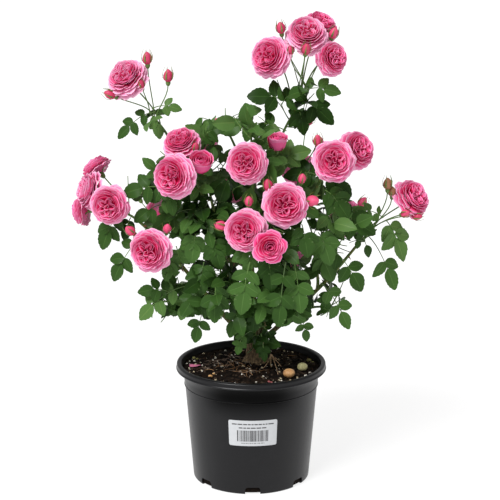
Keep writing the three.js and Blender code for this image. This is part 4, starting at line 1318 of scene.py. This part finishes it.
def leaflets_on(curve, face, leaf_size, random):
    """The leaflets of one compound leaf: its pairs, and the one at the rib's end. Each is its base,
    the way it runs, the way it faces and its size."""
    leaflets = []
    for pair in PAIRS:
        base, along = curve.at(pair["at"]), curve.way(pair["at"])
        across = square_to(face, along)
        for side in (-1, 1):
            spread = turned(along, across, side * (PAIR_ANGLE + LEAF["uneven"] * (random() - 0.5)))
            spread = unit(spread - UP * LEAFLET["hang"])
            tilted = turned(square_to(across, spread), spread, LEAFLET["uneven"] * (random() - 0.5))
            leaflets.append((base, spread, tilted, leaf_size * pair["size"]))
    end = curve.way(1)
    leaflets.append((curve.at(1), end, square_to(face, end), leaf_size))
    return leaflets


# A leaflet's rows of points from base to tip, and its columns as shares of its half width. The
# narrow column in the middle is the midrib.
LEAF_ROWS = 13
LEAF_COLUMNS = vec([-1, -0.5, -0.045, 0.045, 0.5, 1])
LEAF_SHELL = Shell(LEAF_ROWS, len(LEAF_COLUMNS))


def leaf_sheets(leaflets, rng):
    """The middle surfaces of leaflets: folded along the midrib, drooping, with raised veins and
    toothed edges."""
    base, along, face = (np.stack([leaflet[i] for leaflet in leaflets])[:, None, None] for i in range(3))
    length = LEAFLET["length"] * vec([leaflet[3] for leaflet in leaflets])[:, None, None]
    count = len(leaflets)
    s = np.linspace(0, 1, LEAF_ROWS)[:, None]
    c = LEAF_COLUMNS
    edge = np.abs(c) == 1
    tooth = np.where(np.arange(LEAF_ROWS) % 2 == 1, 1.0, -1.0)[:, None]
    outline = (s + 0.003) ** 0.65 * (1.004 - s) ** 0.88 / 0.352
    width = LEAFLET["width"] / LEAFLET["length"] / 2 * rng.uniform(0.88, 1.12, (count, 1, 1))
    y = c * width * outline * (1 + LEAFLET["teeth"] * tooth * edge)
    step = LEAFLET["tooth_step"] * tooth * edge * (s > 0) * (s < 1)
    x = s + step + 0.05 * (np.abs(c) - 0.5) * s * (1 - s)
    fold = LEAFLET["fold"] * rng.uniform(0.2, 2.2, (count, 1, 1))
    droop = LEAFLET["droop"] * rng.uniform(0.2, 2.0, (count, 1, 1))
    wave = LEAFLET["wave"] * np.sin(9 * s + rng.uniform(0, 6, (count, 1, 1))) * c
    veins = LEAFLET["veins"] * tooth * (np.abs(c) > 0.4) * (np.abs(c) < 0.9)
    z = fold * np.abs(y) - droop * x**2 + wave + veins
    side = np.cross(face, along)
    return base + length[..., None] * (x[..., None] * along + y[..., None] * side + z[..., None] * face)


class Crown:
    """The twigs, leaves and flowers of the whole bush, kind by kind."""

    def __init__(self):
        self.twigs, self.leaves, self.petals, self.sepals, self.buds = (Heap() for _ in range(5))
        self.roses = Roses()
        self.middles = np.zeros((0, 3))

    def twig(self, curve, radii, sides, steps, tone, node):
        self.twigs.tube(curve, taper(*radii), sides, steps, tone, node)

    def open_to(self, points, space):
        """Whether points keep to the spray's space and the crown's outline, clear of the roses."""
        if not space.holds(points) or outside_crown(points):
            return False
        return not (self.roses.within(points) or self.roses.seen_behind(points))

    def has_room(self, leaflet, space):
        """Whether a leaflet keeps to the space, off the gaps and away from the others' middles."""
        marks = leaflet_marks(leaflet)
        middle, limits = marks[1], LEAFLET_ROOM
        distances, rooms = (limits["from"], limits["to"]), (limits["inner"], limits["outer"])
        room = np.interp(math.hypot(*middle[:2]), distances, rooms)
        if len(self.middles) and np.linalg.norm(self.middles - middle, axis=1).min() < room:
            return False
        return self.open_to(marks[1:], space) and not before_gap(marks)

    def leaf(self, plan, random, rng, tone, node, space=None):
        """Grows one compound leaf, and says whether it did. Given a spray's space, it keeps only the
        leaflets that have room. A leaf that the photograph shows has no space given, and loses only
        the leaflets that would close a gap."""
        start, tip, face, size = plan["start"], plan["tip"], plan["face"], plan["size"]
        curve = rib_curve(start, tip, LEAF["ends_before"] * LEAFLET["length"] * size)
        kept = leaflets_on(curve, face, size, random)
        if space:
            if not self.open_to(curve.at([0.6, 1]), space):
                return False
            kept = [leaflet for leaflet in kept if self.has_room(leaflet, space)]
        else:
            kept = [leaflet for leaflet in kept if not before_gap(leaflet_marks(leaflet)[:2])]
        if len(kept) < 2:
            return False
        middles = [base + along * LEAFLET["length"] * size / 2 for base, along, _, size in kept]
        self.middles = np.concatenate([self.middles, middles])
        self.twig(curve, RIB["radii"], 5, 7, rng.integers(2), node)
        points = LEAF_SHELL.points(leaf_sheets(kept, rng), LEAFLET["thick"])
        self.leaves.add(points, LEAF_SHELL.faces, leaf_tones(tone), node)
        return True


def leaf_tones(tone):
    """The tone number of each face of a leaflet. Its midrib is one tone lighter, or the veins' colour
    on the lightest leaves, and its underside has a colour of its own."""
    cells = len(LEAF_COLUMNS) - 1
    midrib = tone - 1 if tone else len(LEAF_TONES)
    upper = np.tile(np.where(np.arange(cells) == cells // 2, midrib, tone), LEAF_ROWS - 1)
    under = np.full(len(upper), len(LEAF_TONES) + 1)
    return np.concatenate([upper, under])


# Flowers
# How far petals reach past a rose's radius, how much wider and paler a faded rose is, and how thick
# petals and sepals are
PETAL = {"reach": 1.07, "faded_reach": 1.06, "faded_tone": 1.1, "thick": 0.45}
SEPAL = {"count": 5, "thick": 0.5}

# A stalk's radii at its foot and its flower, and how far its line runs straight at each, as shares of
# the way between them
ROSE_STALK, BUD_STALK = (1.25, 1.15), (1.05, 0.9)
STALK_ENDS = (0.25, 0.35)

# The plug that closes a rose's middle, and how far a rose's petals reach back from its middle, all as
# shares of its radius
PLUG = {"radius": 0.2, "back": 0.16}
CUP_DEPTH, ROSE_DEPTH = 0.78, 0.45

# The hip behind a rose's petals: how far back the stalk meets it and how far it reaches into them. Two
# numbers are a share of the rose's radius and so many millimetres more.
ROSE_HIP = {"stalk": (0.16, 3), "inside": 0.1, "radius": (0.13, 1.2)}

# A bud's foot and tip behind and before its middle, where its stalk and its hip end behind it, and its
# hip's radius, all as shares of its radius, and the share of buds whose sepals are bent off. Its
# section gives its radius at shares of its length.
BUD = {"back": 0.9, "front": 1.45, "stalk": 1.7, "hip": 0.7, "hip_radius": 0.5, "open_share": 0.4}
BUD_SECTION = [(0, 0.5), (0.15, 0.85), (0.4, 0.98), (0.65, 0.84), (0.85, 0.52), (0.95, 0.3), (1, 0.1)]

# The rings of petals of a full and of a half blown rose from the outside in: how many, their edges'
# radius and height as shares of the rose's radius, and their lean in degrees
ROSE_RINGS = [(10, 1.0, -0.28, -30), (10, 0.95, -0.08, -6), (9, 0.88, 0.1, 20), (9, 0.79, 0.25, 44),
              (8, 0.7, 0.36, 62), (8, 0.6, 0.42, 74), (7, 0.5, 0.45, 84)]
YOUNG_RINGS = [(5, 1.0, -0.04, -10), (5, 0.82, 0.1, 18), (5, 0.64, 0.24, 48), (5, 0.5, 0.32, 66),
               (4, 0.37, 0.38, 76), (4, 0.25, 0.42, 84), (3, 0.13, 0.44, 88)]


def petal_sheets(petals, outline):
    """The middle surfaces of petals about the axis +Z, as shares of the rose's radius. A petal runs
    from near the axis at its base out and up to its edge, along a curve that sets off at its rise
    and arrives at its lean."""
    p = {key: vec(value)[:, None, None] for key, value in petals.items()}
    v = PETAL_MARKS[:, None]
    u = np.linspace(-1, 1, PETAL_COLUMNS)
    s, wide = outline(u, v, p)
    step = 0.42 * np.hypot(p["edge"], p["height"] - p["base"])
    rho0 = np.minimum(0.1, 0.35 * p["edge"])
    rho1 = rho0 + step * np.cos(p["rise"]) + p["bulge"]
    z1 = p["base"] + step * np.sin(p["rise"])
    rho2 = p["edge"] - step * np.cos(p["lean"]) + p["bulge"]
    z2 = p["height"] - step * np.sin(p["lean"])
    b0, b1, b2, b3 = (1 - s) ** 3, 3 * s * (1 - s) ** 2, 3 * s**2 * (1 - s), s**3
    rho = b0 * rho0 + b1 * rho1 + b2 * rho2 + b3 * p["edge"]
    z = b0 * p["base"] + b1 * z1 + b2 * z2 + b3 * p["height"]
    ripple = p["ruffle"] * s**3
    rho = rho + ripple * np.sin(4.2 * u + p["phase"]) + p["lap"] * u * s
    z = z + ripple * np.cos(6.5 * u + 2 * p["phase"]) - p["sag"] * u**2 * s**2
    angle = u * p["spread"] * wide
    x = p["offset"] + rho * np.cos(angle)
    y = p["squeeze"] * rho * np.sin(angle)
    cos, sin = np.cos(p["turn"]), np.sin(p["turn"])
    return np.stack([x * cos - y * sin, x * sin + y * cos, z + 0 * x], -1)


def petal_outline(u, v, p):
    """Broad petals: rounded at the top, with a faint notch in the middle."""
    s = v * (1 - p["round"] * np.abs(u) ** 2.6 - 0.02 * np.exp(-((u / 0.3) ** 2)))
    return s, 0.42 + 0.58 * np.sin(math.pi / 2 * np.minimum(1, s / 0.65))


def sepal_outline(u, v, p):
    """Narrow sepals that run out to a long tip."""
    return v + 0 * u, (1.02 - v) ** 0.8 * (0.55 + 0.9 * v * (1 - v)) + 0 * u


# A petal's numbers: its turn round the axis and its distance from it, its edge's radius and height,
# its base's height, the angles in radians at which it rises and leans, its half spread, how squeezed
# it is across, how far it bulges, how its edge ruffles, laps, sags and rounds, and its tone
PLAIN_PETAL = {
    "turn": 0, "offset": 0, "edge": 1, "height": 0, "base": -0.42, "rise": 0.9, "lean": 0,
    "spread": 0.5, "squeeze": 1, "bulge": 0, "ruffle": 0.03, "phase": 0, "lap": 0.035, "sag": 0.02,
    "round": 0.12, "tone": 2,
}


def petal_rows(count, **values):
    """The numbers of so many petals by name. Each value given is one for all, or one for each."""
    rows = {**PLAIN_PETAL, **values}
    return {key: np.broadcast_to(value, count).astype(float) for key, value in rows.items()}


def ringed(rows, rng, **values):
    """Rings of petals. Each value is a function of q, the ring's share of the way in, and of count,
    how many petals the ring has."""
    ring = np.repeat(np.arange(len(rows)), [row[0] for row in rows])
    count, edge, height, lean = vec(rows)[ring].T
    near = rng.normal(0, 1, (4, len(ring)))
    q = ring / (len(rows) - 1)
    return petal_rows(
        len(ring),
        turn=2 * math.pi * (np.arange(len(ring)) / count + 0.37 * ring) + 0.13 * near[0],
        edge=np.minimum(1.0, edge * (1 + 0.025 * near[1])), height=height + 0.025 * near[2],
        lean=np.radians(lean + 7 * near[3]), rise=np.radians(22 + 55 * q),
        ruffle=0.035 - 0.02 * q, phase=rng.uniform(0, 6, len(ring)),
        **{key: value(q, count) for key, value in values.items()},
    )


def full_rose(rng):
    """A full-blown rose: rings of many petals, from a flat skirt to a cup, round a quartered heart."""
    outer = ringed(
        ROSE_RINGS, rng,
        base=lambda q, count: -0.42 + 0.3 * q,
        spread=lambda q, count: 1.55 * math.pi / count,
        tone=lambda q, count: 1.0 + 1.6 * q,
    )
    quarters, nested = 5, 4
    which = np.repeat(np.arange(quarters), nested)
    k = np.tile(np.arange(nested), quarters) / nested
    heart = petal_rows(
        quarters * nested,
        turn=rng.uniform(0, 6) + which * 2 * math.pi / quarters + rng.normal(0, 0.12, len(which)),
        offset=0.22 + 0.02 * k, edge=0.25 * (1 - 0.8 * k) + 0.03,
        height=0.47 - 0.03 * k + rng.normal(0, 0.02, len(which)), base=0.05,
        rise=1.2, lean=1.25, spread=2.2, squeeze=0.62, ruffle=0.02, sag=0.03, lap=0.02,
        phase=rng.uniform(0, 6, len(which)), tone=2.4 + 0.8 * k,
    )
    centre = petal_rows(
        3,
        turn=np.arange(3) * GOLDEN_ANGLE + rng.uniform(0, 6), offset=0.02,
        edge=[0.13, 0.09, 0.05], height=0.46, base=0.1,
        rise=1.3, lean=1.5, spread=1.7, ruffle=0.01, tone=2.0,
    )
    return {key: np.concatenate([group[key] for group in (outer, heart, centre)]) for key in outer}


def young_rose(rng):
    """A rose half blown: broad round outer petals, and wrapped ones round a tight bud."""
    return ringed(
        YOUNG_RINGS, rng,
        base=lambda q, count: -0.4 + 0.3 * q,
        spread=lambda q, count: (1.3 + 0.4 * q) * math.pi / count,
        round=lambda q, count: 0.34 - 0.2 * q,
        tone=lambda q, count: 2.3 + 1.1 * q,
    )


def cup_rose(rng):
    """A rose just opening: a goblet of wrapped petals, the outer ones flared at the lip."""
    count = 20
    q = np.arange(count) / (count - 1)
    return petal_rows(
        count,
        turn=np.arange(count) * GOLDEN_ANGLE, edge=0.98 - 0.84 * q**0.9,
        height=0.7 + 0.07 * np.sin(9 * q), base=-0.75 + 0.5 * q,
        rise=np.radians(5 + 65 * q), lean=np.radians(48 + 48 * np.minimum(1, 2 * q)),
        spread=0.85 + 0.7 * q, bulge=0.16 * (1 - q), phase=rng.uniform(0, 6, count), tone=1.5 + 2.0 * q,
    )


def flower_frame(turn, lift):
    """The axes of a flower that faces a given way, as rows."""
    face = facing(turn, lift)
    side = unit(np.cross(UP, face))
    return np.stack([side, np.cross(face, side), face])


# How much deeper than its rose's tone a petal is, row by row from foot to rim, inside and outside. This is
# partly the petals' own deeper foot, partly painted shade in the crevices between petals, and a painted
# highlight on the rim row.
INNER_COLOUR_AND_SHADING = [3.8, 3.5, 2.9, 2.2, 1.3, 0.3, -1.4]
OUTER_COLOUR_AND_SHADING = [2.2, 1.8, 1.4, 1.0, 0.7, 0.3, -0.8]


def petal_tones(tones, rng):
    """The number of each face's tone, row by row partly the petal's own colour and partly painted shade and
    highlight.
    """
    rows = np.repeat(INNER_COLOUR_AND_SHADING + OUTER_COLOUR_AND_SHADING, PETAL_COLUMNS - 1)
    shades = tones[:, None] + rows + rng.normal(0, 0.25, (len(tones), 1))
    return np.clip(np.round(shades), 0, len(PETAL_TONES) - 1).astype(int)


def sepals_of(crown, centre, axes, radius, shape, rng, node):
    """The sepals under a flower."""
    count = SEPAL["count"]
    turn = np.arange(count) * 2 * math.pi / count + rng.uniform(0, 6)
    rows = petal_rows(count, turn=turn, ruffle=0, lap=0, sag=0, **shape)
    sheets = petal_sheets(rows, sepal_outline) * radius
    points = PETAL_SHELL.points(sheets @ axes + centre, SEPAL["thick"])
    crown.sepals.add(points, PETAL_SHELL.faces, rng.integers(2), node)


def hip(crown, low, high, radius, node):
    """The round hip between a stalk and its flower."""
    def bulb(t, angle):
        return radius * np.sin(math.pi * (0.12 + 0.7 * t)) ** 0.8 + 0 * angle

    crown.sepals.tube(Curve(low, high), bulb, 10, 6, 0, node)


# The shapes of the sepals: flat under a full rose, hugging a cup rose or a bud, and bent off a bud
ROSE_SEPALS = dict(edge=0.62, height=-0.4, base=-0.47, rise=0.5, lean=-0.35, spread=0.42)
CUP_SEPALS = dict(edge=1.0, height=-0.1, base=-0.8, rise=0.15, lean=0.9, spread=0.36, bulge=0.1)
BUD_SEPALS = dict(edge=0.62, height=2.0, base=-0.9, rise=0.5, lean=1.4, spread=0.32, bulge=0.6)
OPEN_SEPALS = dict(edge=1.6, height=0.9, base=-0.85, rise=0.5, lean=0.9, spread=0.3, bulge=0.35)


def stalk_curve(start, low, face):
    """A stalk rises from the stem and meets its flower along the way it faces."""
    span = np.linalg.norm(low - start)
    foot, end = STALK_ENDS
    return Curve(start, start + UP * span * foot, low - face * span * end, low)


def rose(crown, key, row, start, rng, node):
    """A rose on its stalk, of the kind that its key, a spray and a place in the list there, has."""
    x, y, z, turn, lift, size = row
    axes = flower_frame(turn, lift)
    centre, radius, face = vec([x, y, z]), size / 2, axes[2]
    cup, faded = key in CUP_ROSES, key in FADED_ROSES
    kind = cup_rose if cup else young_rose if key in YOUNG_ROSES else full_rose
    petals = kind(rng)
    tones = petals.pop("tone") - PETAL["faded_tone"] * faded
    sheets = petal_sheets(petals, petal_outline)
    reach = PETAL["reach"] * (PETAL["faded_reach"] if faded else 1)
    sheets *= reach * radius / np.hypot(sheets[..., 0], sheets[..., 1]).max()
    points = PETAL_SHELL.points(sheets @ axes + centre, PETAL["thick"])
    crown.petals.add(points, PETAL_SHELL.faces, petal_tones(tones, rng), node)
    plug, plug_faces = ball(2)
    plug = plug * PLUG["radius"] * radius + centre - face * PLUG["back"] * radius
    crown.petals.add(plug, plug_faces, len(PETAL_TONES) - 2, node)
    deep = CUP_DEPTH if cup else ROSE_DEPTH
    (behind, more), (share, least) = ROSE_HIP["stalk"], ROSE_HIP["radius"]
    low = centre - face * radius * (deep + behind) - face * more
    high = centre - face * radius * (deep - ROSE_HIP["inside"])
    hip(crown, low - face * 2, high, radius * share + least, node)
    sepals_of(crown, centre, axes, radius, CUP_SEPALS if cup else ROSE_SEPALS, rng, node)
    crown.twig(stalk_curve(start, low, face), ROSE_STALK, 6, 10, 0, node)


def bud(crown, green, row, start, rng, node):
    """A bud on its stalk, swollen low down and faintly twisted."""
    x, y, z, turn, lift, size = row
    axes = flower_frame(turn, lift)
    centre, radius, face = vec([x, y, z]), size / 2, axes[2]

    def swell(t, angle):
        return radius * np.interp(t, *zip(*BUD_SECTION)) * (1 + 0.06 * np.sin(3 * angle + 6 * t))

    curve = Curve(centre - face * radius * BUD["back"], centre + face * radius * BUD["front"])
    crown.buds.tube(curve, swell, 14, 12, len(BUD_TONES) - 1 if green else rng.integers(2), node)
    low = centre - face * radius * BUD["stalk"]
    hip(crown, low - face, centre - face * radius * BUD["hip"], radius * BUD["hip_radius"], node)
    sepals = OPEN_SEPALS if rng.random() < BUD["open_share"] else BUD_SEPALS
    sepals_of(crown, centre, axes, radius, sepals, rng, node)
    crown.twig(stalk_curve(start, low, face), BUD_STALK, 6, 8, 0, node)


def spray_stem(name, curves):
    """The stem that carries a spray, from its cane's tip, or from the stool where it has none."""
    cane, middle = SPRAYS[name]["cane"], vec(SPRAYS[name]["centre"])
    if "tip" not in cane:
        return limb_curve(stool_point(cane["at"], cane["lean"][0]), facing(*cane["lean"]), middle, UP)
    along, foot = curves[name].way(1), curves[name].at(1)
    arrive = unit(middle - foot)
    past = 0 if outside_crown(middle[None] + STEM["clear"] * arrive) else STEM["past"]
    end = middle + arrive * past * np.linalg.norm(middle - foot)
    return limb_curve(foot, along, end, arrive)


def side_shoot(space, stem, t, i, random):
    """A shoot that leaves the stem and rises, or None where it has no room."""
    start, along = stem.at(t), stem.way(t)
    turn = (i + 0.5) * GOLDEN_ANGLE + 0.6 * random()
    around = turned(square_to(vec([-0.4, -1, 0.1]), along), along, turn)
    way = unit(around + along * SHOOTS["forward"])
    length = min(space.along(start, way) * SHOOTS["share"], SHOOTS["longest"])
    if length < SHOOTS["shortest"]:
        return None
    middle = start + way * length * 0.5 - UP * length * SHOOTS["sag"]
    return Curve(start, middle, start + way * length + UP * length * SHOOTS["rise"])


def grow_spray(crown, name, curves, seed):
    """One spray: its stem, flowers and leaves by the source's rule, then its finer side shoots."""
    random, rng = seeded(seed), np.random.default_rng(seed)
    spray, node, space = SPRAYS[name], f"{name}_spray", Space(name)
    stem = spray_stem(name, curves)
    crown.twig(stem, (STEM["radius"], STEM["radius"] * 0.7), 8, 14, rng.integers(2), node)
    over = STEM["flowers_over"]
    for i, row in enumerate(spray.get("roses", [])):
        rose(crown, (name, i), row, stem.at(STEM["roses_from"] + over * random()), rng, node)
    for i, row in enumerate(spray.get("buds", [])):
        bud(crown, (name, i) in GREEN_BUDS, row, stem.at(STEM["buds_from"] + over * random()), rng, node)
    tone = spray.get("tone", rng.integers(1, 3))

    def leaf(plan, within):
        plan["size"] *= spray.get("leaf_size", 1)
        # Painted shade: leaves nearer the crown's middle take deeper tones, on top of the spray's tone and
        # a random step
        painted_shade_share = max(0, 1 - np.linalg.norm(plan["tip"] - vec(SHADE["centre"])) / SHADE["radius"])
        deeper = tone + rng.integers(-1, 2) + round(SHADE["tones"] * painted_shade_share)
        shade = int(np.clip(deeper, 0, len(LEAF_TONES) - 1))
        return crown.leaf(plan, random, rng, shade, node, within)

    for x, z, tip_x, tip_z, y, size in SHOWN_LEAVES.get(name, []):
        start, tip = vec([x, y, z]), vec([tip_x, y - TIP_NEARER, tip_z])
        leaf({"start": start, "tip": tip, "face": unit(blade_way(start) + VIEW), "size": size}, None)
    for plan in leaf_plan(space, stem, spray["leaves"], LEAF["most"], random):
        leaf(plan, space)
    shoots = round(spray["leaves"] * SHOOTS["per_leaf"])
    for i in range(shoots):
        at = SHOOTS["from"] + SHOOTS["over"] * (i + 0.5) / shoots
        shoot = side_shoot(space, stem, at, i, random)
        if shoot is None:
            continue
        plans = leaf_plan(space, shoot, SHOOTS["leaves"], LEAF["shoot_most"], random)
        if sum(leaf(plan, space) for plan in plans):
            crown.twig(shoot, (SHOOTS["radius"], SHOOTS["radius"] * 0.6), 6, 8, rng.integers(2), node)


def dressed_crown(curves):
    """All the sprays, joined kind by kind."""
    crown = Crown()
    for i, name in enumerate(SPRAYS):
        grow_spray(crown, name, curves, FIRST_SEED + SEED_STEP * i)
    glossy = {"Roughness": 0.36, "Specular_IOR_Level": 0.09}
    soft = {"Roughness": 0.6, "Specular_IOR_Level": 0.1}
    vein = plain("leaf_vein", VEIN_TONE, **glossy)
    underside = plain("leaf_underside", UNDERSIDE_TONE, **soft)
    crown.leaves.build("leaves", "leaf", [*tone_set("leaf", LEAF_TONES, **glossy), vein, underside])
    crown.petals.build("petals", "petal", tone_set("petal", PETAL_TONES, **soft))
    crown.twigs.build("twigs", "foliage", tone_set("twig", TWIG_TONES, Roughness=0.5))
    crown.sepals.build("sepals", "bud", tone_set("sepal", SEPAL_TONES, Roughness=0.55))
    crown.buds.build("buds", "bud", tone_set("bud", BUD_TONES, Roughness=0.5))


# Stage
def stage():
    """A plain pale floor, soft light from all round, and the photograph's view."""
    scene = bpy.context.scene
    scene.view_settings.view_transform = "Standard"
    world = bpy.data.worlds.new("studio")
    world.use_nodes = True
    sky = world.node_tree.nodes["Background"]
    sky.inputs["Color"].default_value = (1, 1, 1, 1)
    sky.inputs["Strength"].default_value = SKY_STRENGTH
    scene.world = world
    corners = [(-FLOOR_REACH, -FLOOR_REACH, 0), (FLOOR_REACH, -FLOOR_REACH, 0),
               (FLOOR_REACH, FLOOR_REACH, 0), (-FLOOR_REACH, FLOOR_REACH, 0)]
    mesh = bpy.data.meshes.new("floor")
    mesh.from_pydata(corners, [], [(0, 1, 2, 3)])
    glow = {"Emission_Color": (1, 1, 1, 1), "Emission_Strength": 0.8}
    mesh.materials.append(plain("floor_paper", (137, 137, 137), Roughness=0.9, **glow))
    in_scene("floor", mesh)
    light = bpy.data.lights.new("key", "SUN")
    light.energy = SUN["energy"]
    light.angle = math.radians(SUN["angle"])
    in_scene("key", light).rotation_euler = Vector(SUN["way"]).to_track_quat("-Z", "Y").to_euler()
    scene.camera = in_scene("camera", bpy.data.cameras.new("camera"))
    scene.camera.location = Vector(CAMERA["place"]) * MM
    scene.camera.rotation_euler.x = math.radians(90 - CAMERA["pitch"])
    scene.camera.data.lens = CAMERA["lens"]


dressed_pot()
label_sheet()
label_print()
soil_bed()
soil_bits()
soil_straw()
fallen_petal()
pebble("pebble_tan", (214, 170, 116), (176, 126, 78), (122, 58, 40), 0.08)
pebble("pebble_olive", (216, 210, 158), (170, 164, 112), (104, 98, 62), 0.04)
cane_lines = cane_curves()
dressed_stool()
dressed_canes(cane_lines)
dressed_crown(cane_lines)
stage()
